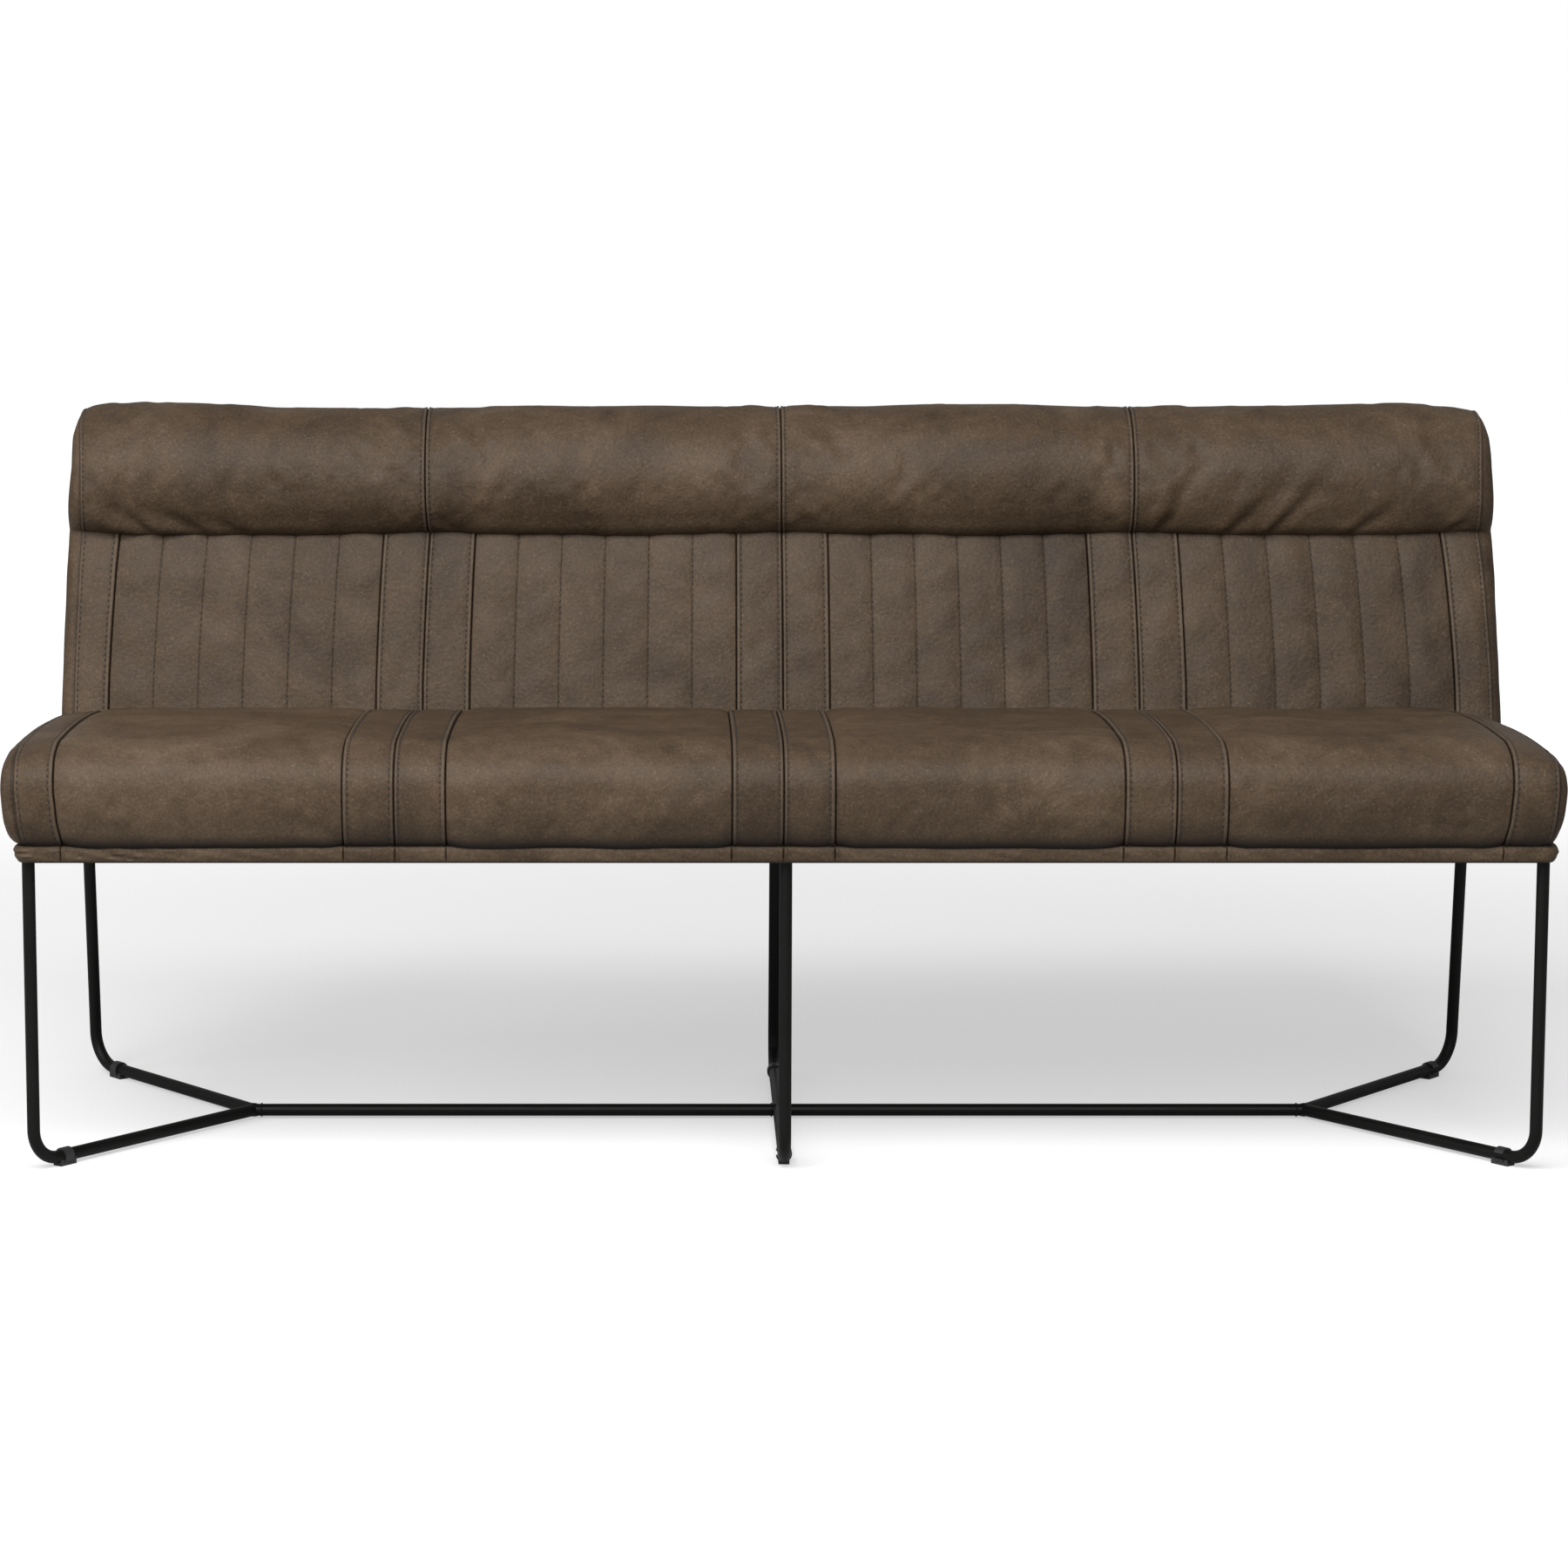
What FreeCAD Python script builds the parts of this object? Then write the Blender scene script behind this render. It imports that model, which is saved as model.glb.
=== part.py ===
import FreeCAD, Part
import math
import os
import re

import Sketcher
from FreeCAD import Placement, Rotation, Vector

# Four-place dining bench with a padded seat, a channelled back with a head roll, and a bent round bar frame.
# The front faces -Y and the floor is at Z 0. All sizes are in millimetres and all angles in degrees.

SIZES = {
    "overall_width": (1800, "over the bulge of the seat ends"),
    "overall_height": (865, "floor to the top of the head roll"),
    "seat_height": (495, "floor to the top of the seat's crown"),
    "seat_depth": (461, "front of the seat to the back's front surface"),
    "seat_thickness": (126, "top of the seat's crown to the lower edge of the hem band"),
    "hem_height": (21, "height of the hem band"),
    "hem_thickness": (3, "leather of the hem band, folded"),
    "hem_setback": (22, "from the front of the seat to the hem band"),
    "hem_inset": (8, "from the bulge of the seat ends to the hem band"),
    "hem_corner": (16, "radius of the hem band's corners in plan"),
    "bar_dia": (15, "round bar of the legs and stretchers"),
    "bend_radius": (38, "bends of the bar, to its centre line"),
    "leg_inset": (22, "from the seat's end to the leg's axis"),
    "front_leg_setback": (45, "from the front of the seat to the front leg's axis"),
    "rear_leg_inset": (26.3, "from the rear of the hem band's inside to the axis of the rear leg's top"),
    "rear_leg_lean": (8.5, "lean of the rear legs"),
    "junction_inset": (252, "from the seat's end to the junction of the floor bars"),
    "glide_sole": (3.5, "glide below the bar"),
    "glide_wall": (2.2, "wall of the glide's cuff"),
    "glide_cuff_length": (13, "length of the cuff along the bar"),
    "glide_sole_length": (25, "length of the sole along the bar"),
    "glide_sole_width": (13, "width of the sole"),
    "glide_opening": (7, "slot that lets the cuff snap over the bar"),
    "glide_shoulder": (3.4, "top of the glide's sole below the bar's axis"),
    "glide_offset": (11, "from the end of the bend to the glide's middle"),
    "plate_side": (60, "side of the square leg plates"),
    "plate_thickness": (4, "thickness of the leg plates"),
    "plate_corner": (6, "cut corners of the leg plates"),
    "plate_recess": (2, "leg plates above the hem's lower edge"),
    "plate_edge": (10, "from the leg's axis to the near edges of its plate"),
    "dust_cover_thickness": (1, "non-woven cloth under the seat"),
    "rail_height": (55, "height of the seat's timber rails"),
    "rail_thickness": (22, "thickness of the front and rear rails"),
    "end_rail_thickness": (30, "thickness of the end rails"),
    "cross_rail_thickness": (44, "thickness of the cross rails"),
    "timber_setback": (27, "from the front of the seat to the front rail"),
    "timber_inset": (22, "from the seat's end to the end rails"),
    "block_leg": (48, "sides of the triangular corner blocks"),
    "block_gap": (6, "corner blocks above the rails' lower edge"),
    "webbing_width": (60, "seat webbing"),
    "webbing_thickness": (1.5, "all webbing"),
    "felt_thickness": (2.5, "felt over the seat webbing"),
    "fit_gap": (0.3, "clearance between soft pieces"),
    "leather_pad": (3, "leather and its backing at a seam"),
    "panel_rise": (4, "crown of a wide panel between its seams"),
    "strip_rise": (1.5, "a narrow strip above its seams"),
    "rise_width": (30, "from a seam to the level part of a wide panel"),
    "seat_crown": (3, "rise of the seat from its rear edge to its middle"),
    "nose_height": (48, "widest point of the seat's front below its top"),
    "nose_depth": (49, "length of the rounded front edge"),
    "belly_setback": (6, "from the front of the seat to its surface half-way down to the hem"),
    "strip_width": (56.25, "width of the narrow strips"),
    "seat_edge_inset": (13, "from the bulge of the seat ends to the edge seam"),
    "back_edge_inset": (20, "from the bulge of the seat ends to the back's edge seam"),
    "back_bulge_inset": (6, "from the bulge of the seat ends to that of the back"),
    "back_recline": (16, "slope of the back's front"),
    "rear_recline": (5, "slope of the back's rear"),
    "back_pad_depth": (38, "foam of the back"),
    "back_foam_drop": (45, "back foam below the seat's top"),
    "crease_depth": (12, "how far the crease is drawn in"),
    "draw_in_length": (67, "stretch of the back's front that draws in to the crease"),
    "roll_height": (156, "from the crease to the top of the head roll"),
    "roll_depth": (128.6, "from the head roll's foremost line to its rear"),
    "roll_overhang": (21, "head roll ahead of the back's front"),
    "roll_rear_round": (24, "radius from the roll's top to its rear seam"),
    "rear_cover_thickness": (3, "leather and backing of the rear cover"),
    "post_thickness": (22, "plywood of the back posts"),
    "post_knee_height": (49, "from the seat rails' top to the posts' knee"),
    "post_top_drop": (65, "from the roll's top to the posts' top"),
    "top_rail_height": (22, "height of the back's top rail"),
    "top_rail_depth": (27, "depth of the back's top rail"),
    "bottom_rail_gap": (5, "back's bottom rail above the seat rails"),
    "back_strap_width": (50, "webbing of the back"),
    "back_strap_margin": (12, "from the ends of the posts' front to the outer straps"),
}

# Places and lengths that follow from the sizes.
FORMULAS = {
    "half_width": "overall_width / 2",
    "hem_bottom": "seat_height - seat_thickness",
    "crease_height": "overall_height - roll_height - seat_height",
    "overall_depth": "seat_depth + crease_height * slope - roll_overhang + roll_depth",
    "front_face": "-(overall_depth / 2)",
    "rear_face": "overall_depth / 2",
    "module": "overall_width / 4",
    "bar_radius": "bar_dia / 2",
    "bar_axis_z": "glide_sole + bar_radius",
    "leg_x": "half_width - leg_inset",
    "front_leg_y": "front_face + front_leg_setback",
    "rear_foot_y": "rear_top_y + leg_rise * tan(rear_leg_lean * 1deg)",
    "junction_x": "half_width - junction_inset",
    "junction_y": "(front_leg_y + rear_foot_y) / 2",
    "hem_top": "hem_bottom + hem_height",
    "plate_bottom": "hem_bottom + plate_recess",
    "plate_top": "plate_bottom + plate_thickness",
    "leg_rise": "plate_bottom - bar_axis_z",
    "rear_top_y": "rear_bottom_y - rear_leg_inset",
    "run_x": "leg_x - junction_x",
    "run_y": "junction_y - front_leg_y",
    "floor_run": "sqrt(run_x * run_x + run_y * run_y)",
    "rail_bottom": "plate_top + dust_cover_thickness",
    "rail_top": "rail_bottom + rail_height",
    "timber_x": "half_width - timber_inset",
    "timber_front": "front_face + timber_setback",
    "back_foot_y": "front_face + seat_depth",
    "rear_seam_z": "overall_height - roll_rear_round",
    "cover_slope": "tan(rear_recline * 1deg)",
    "rear_bottom_y": "rear_face - (rear_seam_z - hem_top) * cover_slope",
    "timber_rear": "rear_bottom_y - rear_cover_thickness - fit_gap",
    "webbing_top": "rail_top + webbing_thickness",
    "felt_top": "webbing_top + felt_thickness + fit_gap",
    "seat_edge_x": "half_width - seat_edge_inset",
    "back_edge_x": "half_width - back_edge_inset",
    "back_bulge_x": "half_width - back_bulge_inset",
    "hem_x": "half_width - hem_inset",
    "hem_front": "front_face + hem_setback",
    "hem_rear": "rear_bottom_y + hem_thickness",
    "end_seam_x": "half_width - strip_width",
    "slope": "tan(back_recline * 1deg)",
    "post_depth": "(back_skin + back_pad_depth + webbing_thickness + fit_gap) / cos(back_recline * 1deg)",
    "back_skin": "leather_pad + panel_rise + fit_gap",
    "knee_z": "rail_top + post_knee_height",
    "knee_y": "back_foot_y + (knee_z - seat_height) * slope + post_depth",
    "post_top_z": "overall_height - post_top_drop",
    "post_top_y": "back_foot_y + (post_top_z - seat_height) * slope + post_depth",
    "cover_inner_y": "rear_face - rear_cover_thickness / cos(rear_recline * 1deg) - fit_gap",
    "post_rear_top_y": "cover_inner_y - (rear_seam_z - post_top_z) * cover_slope",
    "post_rear_foot_y": "cover_inner_y - (rear_seam_z - rail_top) * cover_slope",
    "rear_rail_front": "timber_rear - rail_thickness",
    "front_rail_rear": "timber_front + rail_thickness",
    "crease_z": "seat_height + crease_height",
    "crease_y": "back_foot_y + crease_height * slope",
    "crease_up": "crease_height / cos(back_recline * 1deg)",
    "crown_y": "rear_face - roll_rear_round",
    "roll_radius": "roll_depth - roll_rear_round",
}

# Rows of an end pad: share of the way out, depth left, height left.
SEAT_END_WIDTHS = ((0.0, 1.0, 1.0), (0.65, 0.985, 0.93), (1.0, 0.93, 0.62))
BACK_END_WIDTHS = ((0.0, 1.0, 1.0), (1.0, 0.7, 0.95))
# Share of a seam's dip that the head roll's shoulders don't follow.
SHOULDER_FULLNESS = 0.15

doc = FreeCAD.newDocument("DiningBench")
sheet = doc.addObject("Spreadsheet::Sheet", "Sizes")
for row, (alias, (amount, note)) in enumerate(SIZES.items(), start=1):
    sheet.set(f"A{row}", alias.replace("_", " "))
    sheet.set(f"B{row}", str(amount))
    sheet.set(f"C{row}", note)
    sheet.setAlias(f"B{row}", alias)
doc.recompute()

nodes = {}


def full(formula):
    """A formula in which each derived name is written out down to the cells of the sheet."""
    def spell(found):
        word = found.group(0)
        if word in SIZES:
            return f"Sizes.{word}"
        if word in FORMULAS:
            return f"({full(FORMULAS[word])})"
        return word
    return re.sub(r"[a-z_]{3,}", spell, str(formula))


def number(formula):
    """The value of a formula, as a plain number."""
    found = sheet.evalExpression(full(formula))
    return float(getattr(found, "Value", found))


def bind(thing, name, formula):
    """Tie a property of an object to a formula of the sheet's cells."""
    thing.setExpression(name, full(formula))


def keep(node, thing):
    """Make an object the sub-part of that name."""
    thing.Label = node
    nodes[node] = thing
    return thing


def at(thing, x="0", y="0", z="0"):
    """Bind an object's place."""
    bind(thing, "Placement.Base.x", x)
    bind(thing, "Placement.Base.y", y)
    bind(thing, "Placement.Base.z", z)


def box(name, low, high):
    """A box between two corners, each given as three formulas."""
    made = doc.addObject("Part::Box", name)
    for side, a, b in zip(("Length", "Width", "Height"), low, high):
        bind(made, side, f"({b}) - ({a})")
    at(made, *low)
    return made


def cylinder(name, radius, length, x, y, z, turn=None):
    """A cylinder whose base centre is at a place, turned from +Z by a rotation."""
    made = doc.addObject("Part::Cylinder", name)
    bind(made, "Radius", radius)
    bind(made, "Height", length)
    if turn is not None:
        made.Placement = Placement(Vector(), turn)
    at(made, x, y, z)
    return made


def cut(name, base, tool):
    """The first object less the second."""
    made = doc.addObject("Part::Cut", name)
    made.Base = base
    made.Tool = tool
    return made


def common(name, base, tool):
    """What two objects share."""
    made = doc.addObject("Part::Common", name)
    made.Base = base
    made.Tool = tool
    return made


def fuse(name, things):
    """Several objects joined in one solid."""
    made = doc.addObject("Part::MultiFuse", name)
    made.Shapes = things
    return made


def feature(name, shape):
    """An object whose shape is made by code."""
    made = doc.addObject("Part::Feature", name)
    made.Shape = shape
    return made


def body_with_sketch(name, plane):
    """A body and a sketch on one of its own origin planes."""
    body = doc.addObject("PartDesign::Body", name)
    sketch = new_sketch(body, name + "_outline", plane)
    return body, sketch


def new_sketch(body, name, plane, height=None):
    """A sketch on an origin plane of a body, raised along the plane's normal if a height is given."""
    sketch = body.newObject("Sketcher::SketchObject", name)
    planes = {item.Role: item for item in body.Origin.OriginFeatures}
    sketch.AttachmentSupport = [(planes[plane], "")]
    sketch.MapMode = "FlatFace"
    if height is not None:
        bind(sketch, "AttachmentOffset.Base.z", height)
    return sketch


def draw_polygon(sketch, corners):
    """A closed outline of straight lines, each corner bound to two formulas."""
    spots = [Vector(number(x), number(y), 0) for x, y in corners]
    lines = []
    for here, there in zip(spots, spots[1:] + spots[:1]):
        lines.append(sketch.addGeometry(Part.LineSegment(here, there)))
    for index, line in enumerate(lines):
        following = lines[(index + 1) % len(lines)]
        sketch.addConstraint(Sketcher.Constraint("Coincident", line, 2, following, 1))
    for line, (x, y) in zip(lines, corners):
        bind_point(sketch, line, 1, x, y)


def bind_point(sketch, item, end, x, y):
    """Hold a point of a sketch at two distances from its origin."""
    for kind, formula in (("DistanceX", x), ("DistanceY", y)):
        amount = number(formula)
        held = sketch.addConstraint(Sketcher.Constraint(kind, -1, 1, item, end, amount))
        bind(sketch, f"Constraints[{held}]", formula)


def draw_circle(sketch, radius, x="0", y="0"):
    """A circle whose radius and centre are bound."""
    centre = Vector(number(x), number(y), 0)
    ring = sketch.addGeometry(Part.Circle(centre, Vector(0, 0, 1), number(radius)))
    held = sketch.addConstraint(Sketcher.Constraint("Radius", ring, number(radius)))
    bind(sketch, f"Constraints[{held}]", radius)
    if (x, y) == ("0", "0"):
        sketch.addConstraint(Sketcher.Constraint("Coincident", ring, 3, -1, 1))
    else:
        bind_point(sketch, ring, 3, x, y)


def pad(body, sketch, length, midplane=False):
    """Pad a sketch by a bound length."""
    made = body.newObject("PartDesign::Pad", sketch.Name + "_pad")
    made.Profile = sketch
    bind(made, "Length", length)
    if midplane:
        made.SideType = "Symmetric"
    return made


def cut_upright_corners(body, name, size):
    """Chamfer the edges of a body that run along its Z axis."""
    base = body.Tip
    edges = []
    for index, edge in enumerate(base.Shape.Edges, start=1):
        run = edge.tangentAt(edge.FirstParameter)
        if abs(run.z) > 0.99 and len(edge.Vertexes) == 2:
            edges.append(f"Edge{index}")
    made = body.newObject("PartDesign::Chamfer", name)
    made.Base = (base, edges)
    bind(made, "Size", size)
    return made


# Frame of round bar


def bent_bar(name, leg, run, angle):
    """A bar with one bend: down a leg, round the bend and along a run.

    In its own axes the corner is at the origin, the run goes along +X and the leg rises at the angle from it."""
    body, path = body_with_sketch(name, "XY_Plane")
    radius = number("bend_radius")
    turn = number(angle)
    reach = radius / math.tan(math.radians(turn / 2))
    up = Vector(math.cos(math.radians(turn)), math.sin(math.radians(turn)), 0)
    tip = up * number(leg)
    end = Vector(number(run), 0, 0)
    centre = Vector(reach, radius, 0)
    bend = Part.Circle(centre, Vector(0, 0, 1), radius)
    straight_run = path.addGeometry(Part.LineSegment(end, Vector(reach, 0, 0)))
    arc = path.addGeometry(Part.ArcOfCircle(bend, math.radians(turn + 90), math.radians(270)))
    straight_leg = path.addGeometry(Part.LineSegment(up * reach, tip))
    path.addConstraint(Sketcher.Constraint("PointOnObject", straight_run, 1, -1))
    path.addConstraint(Sketcher.Constraint("Tangent", straight_run, 2, arc, 2))
    path.addConstraint(Sketcher.Constraint("Tangent", straight_leg, 1, arc, 1))
    path.addConstraint(Sketcher.Constraint("Horizontal", straight_run))
    path.addConstraint(Sketcher.Constraint("PointOnObject", -1, 1, straight_leg))
    held = path.addConstraint(Sketcher.Constraint("Radius", arc, radius))
    bind(path, f"Constraints[{held}]", "bend_radius")
    held = path.addConstraint(Sketcher.Constraint("DistanceX", -1, 1, straight_run, 1, end.x))
    bind(path, f"Constraints[{held}]", run)
    held = path.addConstraint(Sketcher.Constraint("DistanceY", -1, 1, straight_leg, 2, tip.y))
    bind(path, f"Constraints[{held}]", f"({leg}) * sin({angle})")
    held = path.addConstraint(Sketcher.Constraint("DistanceX", -1, 1, straight_leg, 2, tip.x))
    bind(path, f"Constraints[{held}]", f"({leg}) * cos({angle})")
    section = new_sketch(body, name + "_section", "YZ_Plane", run)
    draw_circle(section, "bar_radius")
    made = body.newObject("PartDesign::AdditivePipe", name + "_pipe")
    made.Profile = section
    made.Spine = (path, ["Edge1", "Edge2", "Edge3"])
    return body


def place_bar(body, corner, run, leg):
    """Put a bent bar's corner at a point, its run along one direction and its leg in the plane of another."""
    body.Placement = Placement(corner, Rotation(run, leg, run.cross(leg), "XYZ"))


def leg_bar(node, side, front):
    """One corner leg: bent bar, cut level under its plate and mitred at the junction."""
    lean = "0" if front else "rear_leg_lean"
    rise = f"leg_rise / cos({lean} * 1deg) + bar_dia"
    angle = f"acos(sin({lean} * 1deg) * run_y / floor_run)"
    bar = bent_bar(node + "_bar", rise, "floor_run + bar_dia", angle)
    foot_y = number("front_leg_y" if front else "rear_foot_y")
    corner = Vector(side * number("leg_x"), foot_y, number("bar_axis_z"))
    inward = Vector(side * number("junction_x"), number("junction_y"), corner.z) - corner
    inward.normalize()
    tilt = math.radians(number(lean))
    upward = Vector(0, -math.sin(tilt), math.cos(tilt))
    place_bar(bar, corner, inward, upward)
    low_y, high_y = ("front_face - bar_dia", "junction_y") if front else ("junction_y", "rear_face + bar_dia")
    reach = ("-(half_width)", low_y, "0"), ("half_width", high_y, "plate_bottom")
    room = box(node + "_room", *reach)
    return keep(node, common(node, bar, room))


def centre_hoop():
    """The middle bar: front leg, floor run and leaning rear leg, with two bends in one plane."""
    body, path = body_with_sketch("centre_hoop_bar", "YZ_Plane")
    radius = number("bend_radius")
    lean = math.radians(number("rear_leg_lean"))
    front, rear = number("front_leg_y"), number("rear_foot_y")
    floor = number("bar_axis_z")
    top = number("plate_bottom + bar_dia")
    reach = radius / math.tan((math.pi / 2 - lean) / 2)
    up = Vector(-math.sin(lean), math.cos(lean), 0)
    foot = Vector(rear, floor, 0)
    tip = foot + up * ((top - floor) / math.cos(lean))
    first = Part.Circle(Vector(front + radius, floor + radius, 0), Vector(0, 0, 1), radius)
    second = Part.Circle(Vector(rear - reach, floor + radius, 0), Vector(0, 0, 1), radius)
    front_leg = path.addGeometry(Part.LineSegment(Vector(front, top, 0), Vector(front, floor + radius, 0)))
    front_bend = path.addGeometry(Part.ArcOfCircle(first, math.pi, math.pi * 1.5))
    run = path.addGeometry(Part.LineSegment(Vector(front + radius, floor, 0), Vector(rear - reach, floor, 0)))
    rear_bend = path.addGeometry(Part.ArcOfCircle(second, -math.pi / 2, lean))
    rear_leg = path.addGeometry(Part.LineSegment(foot + up * reach, tip))
    path.addConstraint(Sketcher.Constraint("Vertical", front_leg))
    path.addConstraint(Sketcher.Constraint("Horizontal", run))
    path.addConstraint(Sketcher.Constraint("Tangent", front_leg, 2, front_bend, 1))
    path.addConstraint(Sketcher.Constraint("Tangent", front_bend, 2, run, 1))
    path.addConstraint(Sketcher.Constraint("Tangent", run, 2, rear_bend, 1))
    path.addConstraint(Sketcher.Constraint("Tangent", rear_bend, 2, rear_leg, 1))
    for arc in (front_bend, rear_bend):
        held = path.addConstraint(Sketcher.Constraint("Radius", arc, radius))
        bind(path, f"Constraints[{held}]", "bend_radius")
    bind_point(path, front_leg, 1, "front_leg_y", "plate_bottom + bar_dia")
    held = path.addConstraint(Sketcher.Constraint("DistanceY", -1, 1, run, 1, floor))
    bind(path, f"Constraints[{held}]", "bar_axis_z")
    rise = "(plate_bottom + bar_dia - bar_axis_z)"
    bind_point(path, rear_leg, 2, f"rear_foot_y - {rise} * tan(rear_leg_lean * 1deg)", "plate_bottom + bar_dia")
    held = path.addConstraint(Sketcher.Constraint("Angle", rear_leg, math.pi / 2 + lean))
    bind(path, f"Constraints[{held}]", "(90 + rear_leg_lean) * 1deg")
    section = new_sketch(body, "centre_hoop_section", "XY_Plane", "plate_bottom + bar_dia")
    draw_circle(section, "bar_radius", "0", "front_leg_y")
    made = body.newObject("PartDesign::AdditivePipe", "centre_hoop_pipe")
    made.Profile = section
    made.Spine = (path, [f"Edge{count}" for count in range(1, 6)])
    corners = ("-bar_dia", "front_face", "0"), ("bar_dia", "rear_face + bar_dia", "plate_bottom")
    room = box("centre_hoop_room", *corners)
    return keep("centre_hoop", common("centre_hoop", body, room))


def stretcher(node, side, legs, hoop):
    """A straight bar from a junction to the hoop, coped to the bars that it meets."""
    start = "-(junction_x)" if side < 0 else "0"
    bar = cylinder(node + "_bar", "bar_radius", "junction_x", start, "junction_y", "bar_axis_z",
                   Rotation(Vector(0, 1, 0), 90))
    against = fuse(node + "_cope", [*legs, hoop])
    return keep(node, cut(node, bar, against))


def glide_master():
    """A clip-on glide for a bar along X whose axis is the origin: an open cuff over a longer sole."""
    body, cuff = body_with_sketch("glide_master", "YZ_Plane")
    draw_circle(cuff, "bar_radius + glide_wall")
    pad(body, cuff, "glide_cuff_length", True)
    sole = new_sketch(body, "glide_sole_outline", "YZ_Plane")
    half = "glide_sole_width / 2"
    floor = "-(bar_axis_z)"
    shoulder = "-(glide_shoulder)"
    draw_polygon(sole, [(f"-({half})", floor), (half, floor), (half, shoulder), (f"-({half})", shoulder)])
    pad(body, sole, "glide_sole_length", True)
    doc.recompute()
    bore = new_sketch(body, "glide_bore", "YZ_Plane")
    draw_circle(bore, "bar_radius")
    hole = body.newObject("PartDesign::Pocket", "glide_bore_pocket")
    hole.Profile = bore
    hole.SideType = "Symmetric"
    bind(hole, "Length", "glide_sole_length * 2")
    doc.recompute()
    slot = new_sketch(body, "glide_slot", "YZ_Plane")
    gap = "glide_opening / 2"
    draw_polygon(slot, [("0", f"-({gap})"), ("bar_dia", f"-({gap})"), ("bar_dia", gap), ("0", gap)])
    mouth = body.newObject("PartDesign::Pocket", "glide_slot_pocket")
    mouth.Profile = slot
    mouth.SideType = "Symmetric"
    bind(mouth, "Length", "glide_sole_length * 2")
    return body


def corner_angle(front):
    """Angle between a leg and its floor run."""
    if front:
        return 90.0
    return number("acos(sin(rear_leg_lean * 1deg) * run_y / floor_run)")


def glides(master):
    """Six glides, each on a floor run just past the bend: three at the front and three at the rear."""
    def copy(corner, run, reach):
        run.normalize()
        spot = corner + run * (reach + number("glide_offset"))
        side = Vector(0, 0, 1).cross(run)
        made = master.Shape.copy()
        made.Placement = Placement(spot, Rotation(run, side, Vector(0, 0, 1), "XYZ"))
        return made

    floor = number("bar_axis_z")
    middle = Vector(0, number("junction_y"), floor)
    for front, end in ((True, "front"), (False, "rear")):
        foot_y = number("front_leg_y" if front else "rear_foot_y")
        reach = number("bend_radius") / math.tan(math.radians(corner_angle(front) / 2))
        copies = []
        for side in (-1, 1):
            corner = Vector(side * number("leg_x"), foot_y, floor)
            target = Vector(side * number("junction_x"), number("junction_y"), floor)
            copies.append(copy(corner, target - corner, reach))
        foot = Vector(0, foot_y, floor)
        turn = 90.0 if front else 90.0 - number("rear_leg_lean")
        reach = number("bend_radius") / math.tan(math.radians(turn / 2))
        copies.append(copy(foot, middle - foot, reach))
        keep(f"glides_{end}", feature(f"glides_{end}", Part.makeCompound(copies)))


def plate_spots():
    """Centre of each leg plate, seen from below, with the side on which its leg stands."""
    inset = number("plate_side / 2 - plate_edge")
    spots = []
    for y_name, depth in (("front_leg_y", 1), ("rear_top_y", -1)):
        y = number(y_name) + depth * inset
        for side in (-1, 0, 1):
            spots.append(Vector(side * (number("leg_x") - inset), y, number("plate_bottom")))
    return spots


def leg_plates():
    """Six square plates with cut corners, screwed under the seat frame."""
    body, square = body_with_sketch("leg_plate_master", "XY_Plane")
    half = "plate_side / 2"
    draw_polygon(square, [(f"-({half})", f"-({half})"), (half, f"-({half})"), (half, half), (f"-({half})", half)])
    pad(body, square, "plate_thickness")
    doc.recompute()
    cut_upright_corners(body, "leg_plate_corners", "plate_corner")
    doc.recompute()
    copies = [placed(body.Shape, spot) for spot in plate_spots()]
    return keep("leg_plates", feature("leg_plates", Part.makeCompound(copies)))


def placed(shape, spot):
    """A copy of a shape, moved."""
    copy = shape.copy()
    copy.translate(spot)
    return copy


# Timber of the seat and the back


def seat_timber():
    """Rails of the seat frame: front and rear, two ends and three across."""
    def rail(node, low_x, high_x, low_y="front_rail_rear", high_y="rear_rail_front"):
        keep(node, box(node, (low_x, low_y, "rail_bottom"), (high_x, high_y, "rail_top")))

    rail("seat_front_rail", "-(timber_x)", "timber_x", "timber_front", "front_rail_rear")
    rail("seat_rear_rail", "-(timber_x)", "timber_x", "rear_rail_front", "timber_rear")
    inner = "timber_x - end_rail_thickness"
    rail("seat_end_rail_left", "-(timber_x)", f"-({inner})")
    rail("seat_end_rail_right", inner, "timber_x")
    half = "cross_rail_thickness / 2"
    for word, x in (("left", "-(module)"), ("centre", "0"), ("right", "module")):
        rail(f"seat_cross_rail_{word}", f"{x} - {half}", f"{x} + {half}")


def corner_blocks():
    """Glued triangular blocks in the four corners of the seat frame, the rear ones beside the end posts."""
    leg = number("block_leg")
    front_x = number("timber_x - end_rail_thickness")
    rear_x = front_x - number("post_thickness")
    low = number("rail_bottom + block_gap")
    tall = number("rail_top - block_gap") - low
    blocks = []
    for side in (-1, 1):
        for x, y, depth in ((front_x, number("front_rail_rear"), 1), (rear_x, number("rear_rail_front"), -1)):
            corner = Vector(side * x, y, low)
            ends = [corner, corner - Vector(side * leg, 0, 0), corner + Vector(0, depth * leg, 0), corner]
            blocks.append(Part.Face(Part.makePolygon(ends)).extrude(Vector(0, 0, tall)))
    return blocks


def post_places():
    """Left face of each back post, beside the rail that it is bolted to."""
    inner = "timber_x - end_rail_thickness"
    beside = "cross_rail_thickness / 2"
    return [f"-({inner})", f"-(module) + {beside}", f"-({beside}) - post_thickness", f"{beside}",
            f"module - {beside} - post_thickness", f"{inner} - post_thickness"]


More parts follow.
